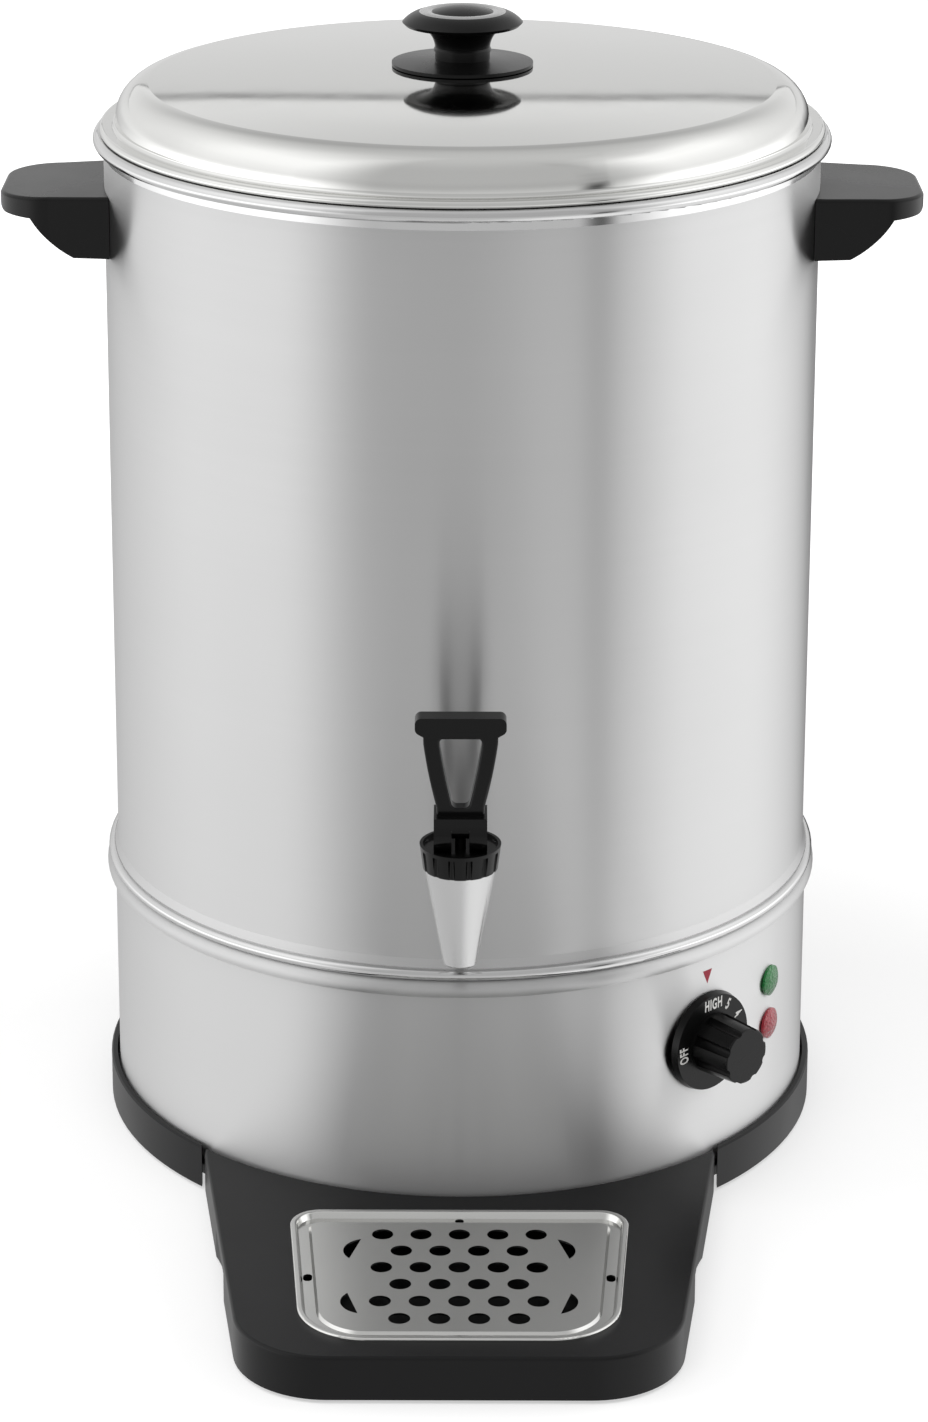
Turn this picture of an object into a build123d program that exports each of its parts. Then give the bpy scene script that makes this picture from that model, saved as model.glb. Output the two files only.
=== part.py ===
from build123d import *
from math import asin, cos, degrees, radians, sin, sqrt, tan
import os

# A catering urn for hot drinks. Millimetres, +Z up, the tap towards -Y, and the origin on the
# tank's axis at the height of the bench that the feet stand on.

# Fits
running_fit = 0.05  # radial, between a turning or sliding pin and its hole
push_fit = 0.02  # radial, where a pin or plug is held
screw_fit = 0.3  # radial, round a screw or a bush in sheet metal
curved_seat = 0.15  # between a piece and the curved wall that it lies against
soft_seat = 0.3  # between a loose piece and the round rim that it rests on
drop_in_gap = 0.5  # round a piece that lifts out

# Sheet metal
sheet = 1.0
floor_sheet = 1.2
plate_sheet = 1.2
punch_reach = 6.0  # how far a hole's cut runs past each side of a curved wall
hex_sides = 6

# Tank
body_radius = 174.5
tank_foot_height = 139.6
rim_height = 506.4
rim_roll_radius = 3.0
rim_curl_gap = 0.9
tank_flare = 1.6
tank_flare_height = 4.0
floor_rise = 10.4  # above the foot of the wall
floor_corner = 5.0

# Skirt and its two beads
skirt_step = 1.5
skirt_foot_height = 15.0
skirt_top_width = 16.0
wide_bead_radius = 4.5
slim_bead_radius = 2.7
slim_bead_offset = 1.0
bead_opening = 18.0

# Base ring, a moulding that is open below
ring_bottom = 2.0
ring_height = 21.3
ring_wall = 3.0
ring_shadow_gap = 1.3
ring_edge_step = 0.8
ring_rib_inset = 6.8
ring_shelf_width = 6.0
ring_flange_width = 6.0
ring_front_gap = 1.0

# Base plate, feet and screws
plate_height = 5.0
plate_edge_gap = 0.5
vent_count = 12
vent_radius = 70.0
vent_length = 26.0
vent_width = 4.0
foot_count = 4
foot_inset = 27.0  # from the edge of the base plate
foot_radius = 13.0
foot_chamfer = 1.5
foot_neck_radius = 5.0
foot_barb_radius = 6.4
foot_barb_height = 2.0
base_screw_count = 6
base_screw_radius = 1.8
base_screw_head_radius = 3.6
base_screw_head_height = 1.8
tie_rod_count = 3
tie_rod_inset = 46.5  # from the outside of the tank
tie_rod_radius = 2.5
rod_nut_width = 8.0
rod_nut_height = 2.4

# Handles
handle_reach = 49.5
handle_width = 86.0
handle_height = 30.4
handle_rim_drop = 26.4  # from the rim to the top of a handle
handle_tip_drop = 1.5
handle_end_width = 78.0
handle_end_depth = 25.0
handle_corner = 24.0
handle_lip_height = 9.0
handle_lip_depth = 16.0
handle_lip_slope = 1.0
handle_lip_round = 4.0
handle_foot_depth = 12.5
handle_wall = 4.5
handle_lip_wall = 7.0
handle_back_wall = 10.0
handle_edge = 1.8
handle_web_bulge = 1.4
handle_screw_spacing = 48.0
handle_screw_drop = 19.0
handle_screw_radius = 2.5
handle_screw_depth = 12.0
screw_head_radius = 4.6
screw_head_height = 3.0
hand_seal_radius = 7.0
hand_seal_thickness = 2.0

# Heater beneath the tank floor
spreader_inset = 69.5  # from the outside of the tank
spreader_thickness = 4.0
element_inset = 27.0  # from the edge of the spreader
element_radius = 4.0
element_drop = 1.0
element_gap_angle = 30.0
element_leg_length = 22.0
element_pin_radius = 1.5
element_pin_length = 8.0
clamp_inset = 13.0  # from the edge of the spreader
clamp_sheet = 1.5
stud_radius = 4.0
stud_length = 22.0
stud_nut_width = 13.0
stud_nut_height = 6.5

# Thermostat, its dial, and the pilot lamps
dial_azimuth = 42.8
dial_height = 82.0
dial_radius = 25.0
dial_thickness = 3.6
dial_standoff = 0.9
dial_draft = 0.8
dial_pocket_radius = 9.5
dial_pocket_depth = 2.6
grip_length = 22.5
grip_base_radius = 15.0
grip_tip_radius = 13.8
grip_flute_count = 8
grip_flute_radius = 2.6
grip_flute_floor = 1.5
grip_edge = 0.8
spindle_radius = 3.0
spindle_flat = 0.8
spindle_engagement = 16.0
bush_radius = 5.0
bush_proud = 3.0
bush_shoulder_radius = 9.0
thermostat_width = 32.0
thermostat_depth = 28.0
thermostat_setback = 6.0
thermostat_nut_width = 14.0
thermostat_nut_height = 2.2
probe_radius = 2.0
probe_length = 30.0
probe_gap = 2.0
capillary_radius = 0.8
capillary_bend = 14.0
lamp_azimuth = 60.2
lamp_green_height = 94.6
lamp_red_height = 71.6
lens_radius = 7.7
lens_rim = 1.2
lens_dome = 2.2
lens_neck_radius = 5.0
lamp_body_radius = 6.0
lamp_body_length = 20.0
lamp_tag_width = 4.8
lamp_tag_thickness = 0.8
lamp_tag_length = 8.0
lamp_clip_radius = 8.0
lamp_clip_thickness = 1.0

# Boil-dry cutout, terminal block and cord gland
cutout_x = -62.0
cutout_y = -30.0
cutout_radius = 12.0
cutout_height = 15.0
cutout_flange = 3.0
button_radius = 3.0
button_head_radius = 4.2
button_proud = 2.2
button_travel = 1.5
terminal_inset = 57.0
terminal_length = 46.0
terminal_depth = 18.0
terminal_height = 17.0
terminal_ways = 3
terminal_hole_radius = 2.2
moulded_corner = 1.5
gland_height = 46.0
gland_thread_radius = 8.0
gland_bore_radius = 4.0
gland_hex_width = 21.0
gland_hex_length = 5.0
gland_cap_radius = 9.5
gland_cap_length = 11.0
gland_tail_length = 9.0
gland_nut_width = 21.0
gland_nut_height = 4.5

# Tap
tap_reach = 47.5
tap_cone_length = 47.5
tap_tip_radius = 7.7
tap_tip_bore = 5.7
tap_tip_round = 1.2
tap_rise = 70.9  # above the foot of the tank
tap_shoulder_radius = 16.7
tap_neck_radius = 14.4
tap_neck_height = 7.3
tap_seat_drop = 19.5  # below the shoulder
tap_seat_bore = 5.0
tap_seat_thickness = 3.0
tap_chamber_radius = 10.3
tap_chamber_top_radius = 12.0
tap_chamber_cone = 13.0
shank_drop = 10.5  # below the shoulder
shank_radius = 8.0
shank_bore = 4.5
shank_inside_length = 17.0
collar_radius = 13.0
collar_thickness = 4.0
tap_seal_thickness = 3.0
tap_nut_width = 24.0
tap_nut_height = 8.0
bonnet_foot_radius = 17.1
bonnet_top_radius = 18.6
bonnet_height = 11.5
bonnet_plate = 2.4
bonnet_lip_height = 1.8
bonnet_lip_width = 1.5
bonnet_flute_count = 14
bonnet_flute_radius = 1.5
bonnet_flute_centre = 17.9
stem_radius = 2.5
stem_disc_radius = 5.0
stem_disc_thickness = 1.6
eye_width = 8.0
eye_radius = 3.6
pin_rise = 6.0  # above the bonnet
pin_radius = 2.0
pin_length = 23.0
cup_radius = 8.0
cup_floor = 1.9
cup_height = 4.5
cup_lift_gap = 0.05
spring_radius = 5.2
spring_wire = 0.5
spring_turns = 4.0
spring_end_gap = 0.3

# Tap lever, with its heights above the pin
lever_thickness = 8.4
lever_bar_top = 55.8
lever_bar_bottom = 46.0
lever_bar_half = 20.7
lever_bar_thickness = 9.4
lever_bar_corner = 3.0
lever_leg_top = 43.0
lever_leg_half = 16.9
lever_leg_bulge = 0.5
lever_neck_height = 12.5
lever_neck_half = 10.9
lever_hub_top = 9.0
lever_hub_half = 12.1
lever_hub_depth = 18.0
lever_hub_edge = 2.0
lever_edge = 1.2
loop_top_half = 10.0
loop_bottom_half = 3.6
loop_bottom = 12.2
loop_corner = 2.8
cam_offset = 4.2
cam_gap = 0.1
lever_slot_height = 4.0

# Lid and its knob
lid_wall_inset = 6.0  # inside the tank's outer face
lid_wall_straight = 0.7
lid_shoulder_radius = 17.5
lid_dome_radius = 1750.0
lid_cove_radius = 2.5
lid_bead_radius = 1.9
lid_bead_inset = 2.1
lid_bead_wrap = 250.0
lid_hole_radius = 3.0
guide_ring_sheet = 0.8
guide_ring_depth = 14.0
guide_ring_gap = 1.3
guide_ring_flange = 2.1
disc_radius = 34.3
disc_edge = 1.6
disc_rise = 1.6
disc_collar_radius = 13.3
disc_collar_height = 7.0
stem_foot_radius = 13.9
stem_foot_height = 1.0
stem_waist_radius = 13.4
stem_flare_radius = 23.5
stem_flare_sag = 2.6
grip_under_height = 12.8
cap_radius = 29.2
cap_edge_height = 14.1
cap_edge_drop = 0.3
cap_edge_inset = 1.6
cap_shoulder_height = 19.1
cap_shoulder_bulge = 0.8
cap_recess_depth = 1.2
ring_outer_radius = 21.0
ring_inner_radius = 14.9
ring_crown = 0.7
insert_dome = 2.6
knob_screw_radius = 2.5
knob_screw_head_radius = 5.0
knob_screw_head_height = 2.8
knob_screw_length = 18.0

# Drip platform
platform_bottom = 2.0
platform_height = 21.0
platform_back_half = 124.6
platform_back_inset = 47.3  # behind the front of the base ring
platform_front_half = 97.0
platform_reach = 153.0  # in front of the base ring
platform_corner = 44.0
platform_wall = 3.0
platform_top = 2.6
platform_edge = 1.6
platform_back_gap = 2.4
platform_split_gap = 1.8
scoop_place = 99.3  # behind the front
scoop_width = 36.0
scoop_depth = 1.8
scoop_top = 16.0
tongue_x = 80.0
tongue_width = 16.0
tongue_length = 24.0
tongue_bottom = 5.0
tongue_thickness = 3.0
tongue_slot_gap = 0.5
pad_radius = 6.0
pad_height = 3.0
pad_boss_radius = 7.5
front_pad_inset = 11.0
front_pad_place = 37.3  # behind the front
back_pad_inset = 21.6
back_pad_place = 45.0  # in front of the back corners

# Drip grille and the well below it
grille_back_half = 80.9
grille_front_half = 71.2
grille_length = 123.5
grille_place = 13.3  # behind the front of the platform
grille_back_corner = 14.0
grille_front_corner = 32.0
grille_lip_width = 2.8
grille_lip_height = 2.1
grille_lip_round = 0.9
grille_sheet = 1.0
gutter_depth = 3.1
gutter_wall_lean = 20.0
gutter_width = 4.8
panel_rise = 1.2
panel_edge_lean = 45.0
well_wall = 2.5
well_floor = 7.0
hole_radius = 5.0
hole_pitch = 18.0
row_pitch = 16.0
row_count = 6
short_row_holes = 4
corner_hole_far = (51.0, 45.3)
corner_hole_bulge = (54.0, 36.4)
corner_hole_near = (45.9, 26.4)
drain_hole_width = 4.2
drain_hole_length = 6.6


def radial_plane(azimuth, height, distance):
    """A plane that faces outwards. The azimuth is in degrees from the front towards +X."""
    angle = radians(azimuth)
    outward = Vector(sin(angle), -cos(angle), 0)
    sideways = Vector(cos(angle), sin(angle), 0)
    return Plane(origin=outward * distance + Vector(0, 0, height), x_dir=sideways, z_dir=outward)


def save(part, name):
    part.label = name
    export_step(part, f"parts/{name}.step")


os.makedirs("parts", exist_ok=True)

# Derived places that several pieces share
tank_inner = body_radius - sheet
skirt_radius = body_radius + skirt_step
skirt_inner = skirt_radius - sheet
ring_top = ring_bottom + ring_height
ring_seat_radius = skirt_radius + ring_shadow_gap
ring_radius = ring_seat_radius + ring_wall
rib_outer_radius = ring_seat_radius - ring_rib_inset
rib_inner_radius = rib_outer_radius - ring_wall
ring_shelf_radius = rib_outer_radius - ring_shelf_width
ring_flange_radius = ring_shelf_radius - ring_flange_width
base_screw_circle = (ring_flange_radius + rib_inner_radius) / 2
tap_y = -(body_radius + tap_reach)
tap_axis = Axis((0, tap_y, 0), (0, 0, 1))
tap_section = Plane(origin=(0, tap_y, 0), x_dir=(1, 0, 0), z_dir=(0, -1, 0))
tap_shoulder_height = tank_foot_height + tap_rise
tap_tip_height = tap_shoulder_height - tap_cone_length
tap_seat_height = tap_shoulder_height - tap_seat_drop
shank_height = tap_shoulder_height - shank_drop
pin_height = tap_shoulder_height + bonnet_height + pin_rise
lever_section = Plane(origin=(0, tap_y, pin_height), x_dir=(1, 0, 0), z_dir=(0, -1, 0))
plate_top = plate_height + plate_sheet
plate_radius = rib_inner_radius - plate_edge_gap
foot_circle = plate_radius - foot_inset
terminal_y = plate_radius - terminal_inset
tie_rod_circle = body_radius - tie_rod_inset
floor_height = tank_foot_height + floor_rise
lid_wall_radius = body_radius - lid_wall_inset
handle_top_height = rim_height - handle_rim_drop
handle_screw_height = handle_top_height - handle_screw_drop
spreader_radius = body_radius - spreader_inset
spreader_bottom = floor_height - spreader_thickness
element_circle = spreader_radius - element_inset
element_height = spreader_bottom - element_drop
clamp_radius = spreader_radius - clamp_inset
clamp_top = element_height - element_radius - running_fit
dial_face = skirt_radius + dial_standoff + dial_thickness
platform_back_y = platform_back_inset - ring_radius
platform_front_y = -ring_radius - platform_reach
scoop_y = platform_front_y + scoop_place
grille_front_y = platform_front_y + grille_place
grille_back_y = grille_front_y + grille_length

# ---------------------------------------------------------------- tank
roll_centre_radius = body_radius - sheet + rim_roll_radius
roll_centre_height = rim_height - rim_roll_radius

with BuildPart() as tank_wall:
    with BuildSketch(Plane.XZ) as wall_section:
        wall_length = roll_centre_height - tank_foot_height
        with Locations((body_radius - sheet / 2, tank_foot_height + wall_length / 2)):
            Rectangle(sheet, wall_length)
        with Locations((roll_centre_radius, roll_centre_height)):
            Circle(rim_roll_radius)
            Circle(rim_roll_radius - sheet, mode=Mode.SUBTRACT)
        # the edge of the curl stops short of the wall
        with Locations((body_radius + rim_curl_gap / 2, rim_height - 2 * rim_roll_radius)):
            Rectangle(rim_curl_gap, 2 * rim_roll_radius, mode=Mode.SUBTRACT)
        with BuildLine():
            Polyline(
                (tank_inner, tank_foot_height),
                (body_radius + tank_flare, tank_foot_height),
                (body_radius, tank_foot_height + tank_flare_height),
                (tank_inner, tank_foot_height + tank_flare_height),
                close=True,
            )
        make_face()
    revolve(axis=Axis.Z)
    with BuildSketch(Plane.XZ.offset(body_radius - punch_reach)) as tap_hole:
        with Locations((0, shank_height)):
            Circle(shank_radius + screw_fit)
    extrude(amount=2 * punch_reach, mode=Mode.SUBTRACT)
    for side in (1, -1):
        with BuildSketch(Plane.YZ.offset(side * (body_radius - punch_reach))) as handle_holes:
            with Locations((0, handle_screw_height)):
                with GridLocations(handle_screw_spacing, 1, 2, 1):
                    Circle(handle_screw_radius + screw_fit)
        extrude(amount=side * 2 * punch_reach, mode=Mode.SUBTRACT)
save(tank_wall.part, "tank_wall")

floor_outer = tank_inner - running_fit
with BuildPart() as tank_floor:
    with BuildSketch(Plane.XZ) as floor_section:
        floor_line_radius = floor_outer - floor_sheet / 2
        with BuildLine():
            FilletPolyline(
                (0, floor_height + floor_sheet / 2),
                (floor_line_radius, floor_height + floor_sheet / 2),
                (floor_line_radius, tank_foot_height),
                radius=floor_corner - floor_sheet / 2,
            )
        trace(line_width=floor_sheet)
    revolve(axis=Axis.Z)
    with BuildSketch(Plane.XY.offset(floor_height)) as floor_stud:
        Circle(stud_radius)
    extrude(amount=-stud_length)
save(tank_floor.part, "tank_floor")

# ---------------------------------------------------------------- skirt
slim_bead_height = tank_foot_height - sheet / 2 - slim_bead_radius
wide_bead_height = slim_bead_height - slim_bead_radius - wide_bead_radius

with BuildPart() as skirt_casing:
    with BuildSketch(Plane.XZ) as skirt_section:
        skirt_length = tank_foot_height - skirt_foot_height
        with Locations((skirt_radius - sheet / 2, skirt_foot_height + skirt_length / 2)):
            Rectangle(sheet, skirt_length)
        slim_centre = (skirt_radius - sheet / 2 + slim_bead_offset, slim_bead_height)
        wide_centre = (skirt_radius - sheet / 2, wide_bead_height)
        with Locations(slim_centre):
            Circle(slim_bead_radius)
        with Locations(wide_centre):
            Circle(wide_bead_radius)
        with Locations(slim_centre):
            Circle(slim_bead_radius - sheet, mode=Mode.SUBTRACT)
        with Locations(wide_centre):
            Circle(wide_bead_radius - sheet, mode=Mode.SUBTRACT)
        # the beads are pressed outwards and stay open to the inside
        with Locations((skirt_inner - wide_bead_radius, wide_bead_height)):
            Rectangle(2 * wide_bead_radius, bead_opening, mode=Mode.SUBTRACT)
        with Locations((skirt_radius - skirt_top_width / 2, tank_foot_height - sheet / 2)):
            Rectangle(skirt_top_width, sheet)
    revolve(axis=Axis.Z)
    with BuildSketch(radial_plane(dial_azimuth, dial_height, skirt_inner - punch_reach)):
        Circle(bush_radius + screw_fit)
    extrude(amount=2 * punch_reach, mode=Mode.SUBTRACT)
    for lamp_height in (lamp_green_height, lamp_red_height):
        with BuildSketch(radial_plane(lamp_azimuth, lamp_height, skirt_inner - punch_reach)):
            Circle(lens_neck_radius + screw_fit)
        extrude(amount=2 * punch_reach, mode=Mode.SUBTRACT)
    with BuildSketch(radial_plane(180, gland_height, skirt_inner - punch_reach)):
        Circle(gland_thread_radius + screw_fit)
    extrude(amount=2 * punch_reach, mode=Mode.SUBTRACT)
save(skirt_casing.part, "skirt_casing")

# ---------------------------------------------------------------- base ring
shelf_bottom = skirt_foot_height - ring_wall

with BuildPart() as base_ring:
    with BuildSketch(Plane.XZ) as ring_section:
        with BuildLine():
            Polyline(
                (ring_flange_radius, plate_top),
                (rib_inner_radius, plate_top),
                (rib_inner_radius, ring_bottom),
                (rib_outer_radius, ring_bottom),
                (rib_outer_radius, shelf_bottom),
                (ring_seat_radius, shelf_bottom),
                (ring_seat_radius, ring_bottom),
                (ring_radius, ring_bottom),
                (ring_radius, ring_top - ring_edge_step),
                (ring_radius - ring_edge_step, ring_top),
                (ring_seat_radius, ring_top),
                (ring_seat_radius, skirt_foot_height),
                (ring_shelf_radius, skirt_foot_height),
                (ring_shelf_radius, plate_top + ring_wall),
                (ring_flange_radius, plate_top + ring_wall),
                close=True,
            )
        make_face()
    revolve(axis=Axis.Z)
    # the outer wall is left out across the front, where the drip platform stands
    with BuildSketch(Plane.XY) as front_gap:
        with Locations((0, -ring_radius)):
            Rectangle(2 * (platform_back_half + platform_split_gap), 2 * ring_radius)
        Circle(skirt_radius + ring_front_gap, mode=Mode.SUBTRACT)
    extrude(amount=ring_top, mode=Mode.SUBTRACT)
    with BuildSketch(Plane.XY.offset(tongue_bottom - tongue_slot_gap)) as tongue_slots:
        for side in (1, -1):
            with Locations((side * tongue_x, 0)):
                Rectangle(
                    tongue_width + 2 * tongue_slot_gap,
                    ring_radius,
                    align=(Align.CENTER, Align.MAX),
                )
        Circle(rib_inner_radius, mode=Mode.SUBTRACT)
    extrude(amount=tongue_thickness + 2 * tongue_slot_gap, mode=Mode.SUBTRACT)
    with BuildSketch(Plane.XY.offset(plate_top)) as pilot_holes:
        with PolarLocations(base_screw_circle, base_screw_count):
            Circle(base_screw_radius + push_fit)
    extrude(amount=ring_wall, mode=Mode.SUBTRACT)
save(base_ring.part, "base_ring")

# ---------------------------------------------------------------- base plate, feet and fasteners
with BuildPart() as base_plate:
    with BuildSketch(Plane.XY.offset(plate_height)) as plate_outline:
        Circle(plate_radius)
        with PolarLocations(vent_radius, vent_count):
            SlotOverall(vent_length, vent_width, mode=Mode.SUBTRACT)
        with PolarLocations(foot_circle, foot_count, start_angle=180 / foot_count):
            Circle(foot_neck_radius + running_fit, mode=Mode.SUBTRACT)
        with PolarLocations(tie_rod_circle, tie_rod_count, start_angle=-90):
            Circle(tie_rod_radius + screw_fit, mode=Mode.SUBTRACT)
        with PolarLocations(base_screw_circle, base_screw_count):
            Circle(base_screw_radius + screw_fit, mode=Mode.SUBTRACT)
        with Locations((cutout_x, cutout_y)):
            Circle(button_radius + running_fit, mode=Mode.SUBTRACT)
    extrude(amount=plate_sheet)
save(base_plate.part, "base_plate")

with BuildPart() as foot:
    with BuildSketch(Plane.XZ) as foot_section:
        barb_base = plate_top + running_fit
        with BuildLine():
            Polyline(
                (0, 0),
                (foot_radius - foot_chamfer, 0),
                (foot_radius, foot_chamfer),
                (foot_radius, plate_height),
                (foot_neck_radius, plate_height),
                (foot_neck_radius, barb_base),
                (foot_barb_radius, barb_base),
                (foot_neck_radius, barb_base + foot_barb_height),
                (0, barb_base + foot_barb_height),
                close=True,
            )
        make_face()
    revolve(axis=Axis.Z)
with BuildPart() as feet:
    with PolarLocations(foot_circle, foot_count, start_angle=180 / foot_count):
        add(foot.part)
save(feet.part, "feet")

with BuildPart() as base_screws:
    with BuildSketch(Plane.XY.offset(plate_height)) as base_screw_heads:
        with PolarLocations(base_screw_circle, base_screw_count):
            Circle(base_screw_head_radius)
    extrude(amount=-base_screw_head_height)
    with BuildSketch(Plane.XY.offset(plate_height)) as base_screw_shanks:
        with PolarLocations(base_screw_circle, base_screw_count):
            Circle(base_screw_radius)
    extrude(amount=plate_sheet + ring_wall)
save(base_screws.part, "base_screws")

with BuildPart() as tie_rods:
    with BuildSketch(Plane.XY.offset(floor_height)) as rod_circles:
        with PolarLocations(tie_rod_circle, tie_rod_count, start_angle=-90):
            Circle(tie_rod_radius)
    extrude(amount=plate_height - rod_nut_height - floor_height)
save(tie_rods.part, "tie_rods")

with BuildPart() as tie_rod_nuts:
    with BuildSketch(Plane.XY.offset(plate_height)) as rod_nut_outline:
        with PolarLocations(tie_rod_circle, tie_rod_count, start_angle=-90):
            RegularPolygon(rod_nut_width / 2, hex_sides, major_radius=False)
            Circle(tie_rod_radius + push_fit, mode=Mode.SUBTRACT)
    extrude(amount=-rod_nut_height)
save(tie_rod_nuts.part, "tie_rod_nuts")


# ---------------------------------------------------------------- handles
def make_handle(side):
    """A moulded bracket with a hand recess below. side is 1 towards +X and -1 towards -X."""
    tip = body_radius + handle_reach
    root = body_radius - handle_back_wall
    foot = handle_top_height - handle_height
    lip = handle_top_height - handle_tip_drop - handle_lip_height
    knee = (tip - handle_lip_depth, lip - handle_lip_slope)
    toe = (body_radius + handle_foot_depth, foot)
    middle = ((knee[0] + toe[0]) / 2 + handle_web_bulge, (knee[1] + toe[1]) / 2 - handle_web_bulge)
    with BuildPart() as handle:
        with BuildSketch(Plane.XZ) as side_view:
            with BuildLine():
                Polyline(
                    toe,
                    (root, foot),
                    (root, handle_top_height),
                    (tip, handle_top_height - handle_tip_drop),
                    (tip, lip),
                    knee,
                )
                ThreePointArc(knee, middle, toe)
            make_face()
            fillet(side_view.vertices().group_by(Axis.X)[-1].sort_by(Axis.Y)[0], handle_lip_round)
        extrude(amount=handle_width / 2, both=True)
        with BuildSketch(Plane.XY.offset(foot)) as plan_view:
            with BuildLine():
                Polyline(
                    (root, -handle_width / 2),
                    (tip - handle_end_depth, -handle_end_width / 2),
                    (tip, -handle_end_width / 2),
                    (tip, handle_end_width / 2),
                    (tip - handle_end_depth, handle_end_width / 2),
                    (root, handle_width / 2),
                    close=True,
                )
            make_face()
            fillet(plan_view.vertices().group_by(Axis.X)[-1], handle_corner)
        extrude(amount=handle_height, mode=Mode.INTERSECT)
        top_edges = handle.faces().sort_by(Axis.Z)[-1].edges().group_by(Axis.X)[1:]
        fillet([edge for group in top_edges for edge in group], handle_edge)
        # the recess behind the lip, where the fingers go
        with BuildSketch(Plane.XY.offset(foot)) as recess:
            recess_root = body_radius + handle_back_wall
            recess_tip = tip - handle_lip_wall
            recess_half = handle_end_width / 2 - handle_wall
            with BuildLine():
                Polyline(
                    (recess_root, -recess_half),
                    (recess_tip, -recess_half),
                    (recess_tip, recess_half),
                    (recess_root, recess_half),
                    close=True,
                )
            make_face()
            fillet(recess.vertices().group_by(Axis.X)[-1], handle_corner - handle_lip_wall)
            fillet(recess.vertices().group_by(Axis.X)[0], handle_wall)
        extrude(amount=handle_height - handle_wall - handle_tip_drop, mode=Mode.SUBTRACT)
        with BuildSketch(Plane.YZ.offset(root)) as insert_holes:
            with Locations((0, handle_screw_height)):
                with GridLocations(handle_screw_spacing, 1, 2, 1):
                    Circle(handle_screw_radius + push_fit)
        extrude(amount=handle_back_wall + handle_screw_depth - handle_wall, mode=Mode.SUBTRACT)
        with BuildSketch(Plane.XY.offset(foot)) as wall_seat:
            Circle(body_radius + curved_seat)
        extrude(amount=handle_height, mode=Mode.SUBTRACT)
    if side < 0:
        return mirror(handle.part, about=Plane.YZ)
    return handle.part


save(make_handle(-1), "handle_left")
save(make_handle(1), "handle_right")

with BuildPart() as handle_seals:
    for side in (1, -1):
        seal_face = tank_inner - hand_seal_thickness
        with BuildSketch(Plane.YZ.offset(side * seal_face)) as seal_rings:
            with Locations((0, handle_screw_height)):
                with GridLocations(handle_screw_spacing, 1, 2, 1):
                    Circle(hand_seal_radius)
                    Circle(handle_screw_radius + screw_fit, mode=Mode.SUBTRACT)
        extrude(amount=hand_seal_thickness, both=True)
    with BuildSketch(Plane.XY.offset(handle_screw_height - hand_seal_radius)) as wall_inside:
        Circle(tank_inner - curved_seat)
    extrude(amount=2 * hand_seal_radius, mode=Mode.INTERSECT)
save(handle_seals.part, "handle_seals")

with BuildPart() as handle_screws:
    for side in (1, -1):
        head_face = tank_inner - 2 * hand_seal_thickness
        with BuildSketch(Plane.YZ.offset(side * head_face)) as screw_circles:
            with Locations((0, handle_screw_height)):
                with GridLocations(handle_screw_spacing, 1, 2, 1):
                    Circle(screw_head_radius)
        extrude(amount=-side * screw_head_height)
        with BuildSketch(Plane.YZ.offset(side * head_face)) as shank_circles:
            with Locations((0, handle_screw_height)):
                with GridLocations(handle_screw_spacing, 1, 2, 1):
                    Circle(handle_screw_radius)
        extrude(amount=side * (2 * hand_seal_thickness + sheet + handle_screw_depth - handle_wall))
save(handle_screws.part, "handle_screws")

# ---------------------------------------------------------------- heater
with BuildPart() as heat_spreader:
    with BuildSketch(Plane.XY.offset(spreader_bottom)) as spreader_outline:
        Circle(spreader_radius)
        Circle(stud_radius + screw_fit, mode=Mode.SUBTRACT)
    extrude(amount=spreader_thickness)
    with BuildSketch(Plane.XZ) as groove_section:
        with Locations((element_circle, element_height)):
            Circle(element_radius + running_fit)
    revolve(axis=Axis.Z, mode=Mode.SUBTRACT)
save(heat_spreader.part, "heat_spreader")

element_start = 90 + element_gap_angle / 2
element_sweep = 360 - element_gap_angle
leg_spots = [
    (element_circle * cos(radians(turn)), element_circle * sin(radians(turn)))
    for turn in (element_start, element_start + element_sweep)
]
with BuildPart() as heating_element:
    element_plane = Plane.XZ.rotated((0, 0, element_start))
    with BuildSketch(element_plane) as tube_section:
        with Locations((element_circle, element_height)):
            Circle(element_radius)
    revolve(axis=Axis.Z, revolution_arc=element_sweep)
    with Locations(*[(x, y, element_height) for x, y in leg_spots]):
        Sphere(element_radius)
    with BuildSketch(Plane.XY.offset(element_height)) as leg_circles:
        with Locations(*leg_spots):
            Circle(element_radius)
    extrude(amount=-element_leg_length)
    with BuildSketch(Plane.XY.offset(element_height - element_leg_length)) as pin_circles:
        with Locations(*leg_spots):
            Circle(element_pin_radius)
    extrude(amount=-element_pin_length)
save(heating_element.part, "heating_element")

with BuildPart() as element_clamp:
    with BuildSketch(Plane.XY.offset(clamp_top)) as clamp_outline:
        Circle(clamp_radius)
        Circle(stud_radius + screw_fit, mode=Mode.SUBTRACT)
        # a notch at the back lets the element's two legs pass
        with Locations((0, element_circle)):
            Rectangle(
                2 * (leg_spots[1][0] + 2 * element_radius),
                2 * (clamp_radius - element_circle + 2 * element_radius),
                mode=Mode.SUBTRACT,
            )
    extrude(amount=-clamp_sheet)
save(element_clamp.part, "element_clamp")

with BuildPart() as element_nut:
    with BuildSketch(Plane.XY.offset(clamp_top - clamp_sheet)) as stud_nut_outline:
        RegularPolygon(stud_nut_width / 2, hex_sides, major_radius=False)
        Circle(stud_radius + push_fit, mode=Mode.SUBTRACT)
    extrude(amount=-stud_nut_height)
save(element_nut.part, "element_nut")

# ---------------------------------------------------------------- thermostat and dial
body_face = skirt_radius - thermostat_setback
nut_face = skirt_radius + curved_seat
bush_end = nut_face + bush_proud
spindle_end = dial_face - dial_thickness + spindle_engagement

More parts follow.
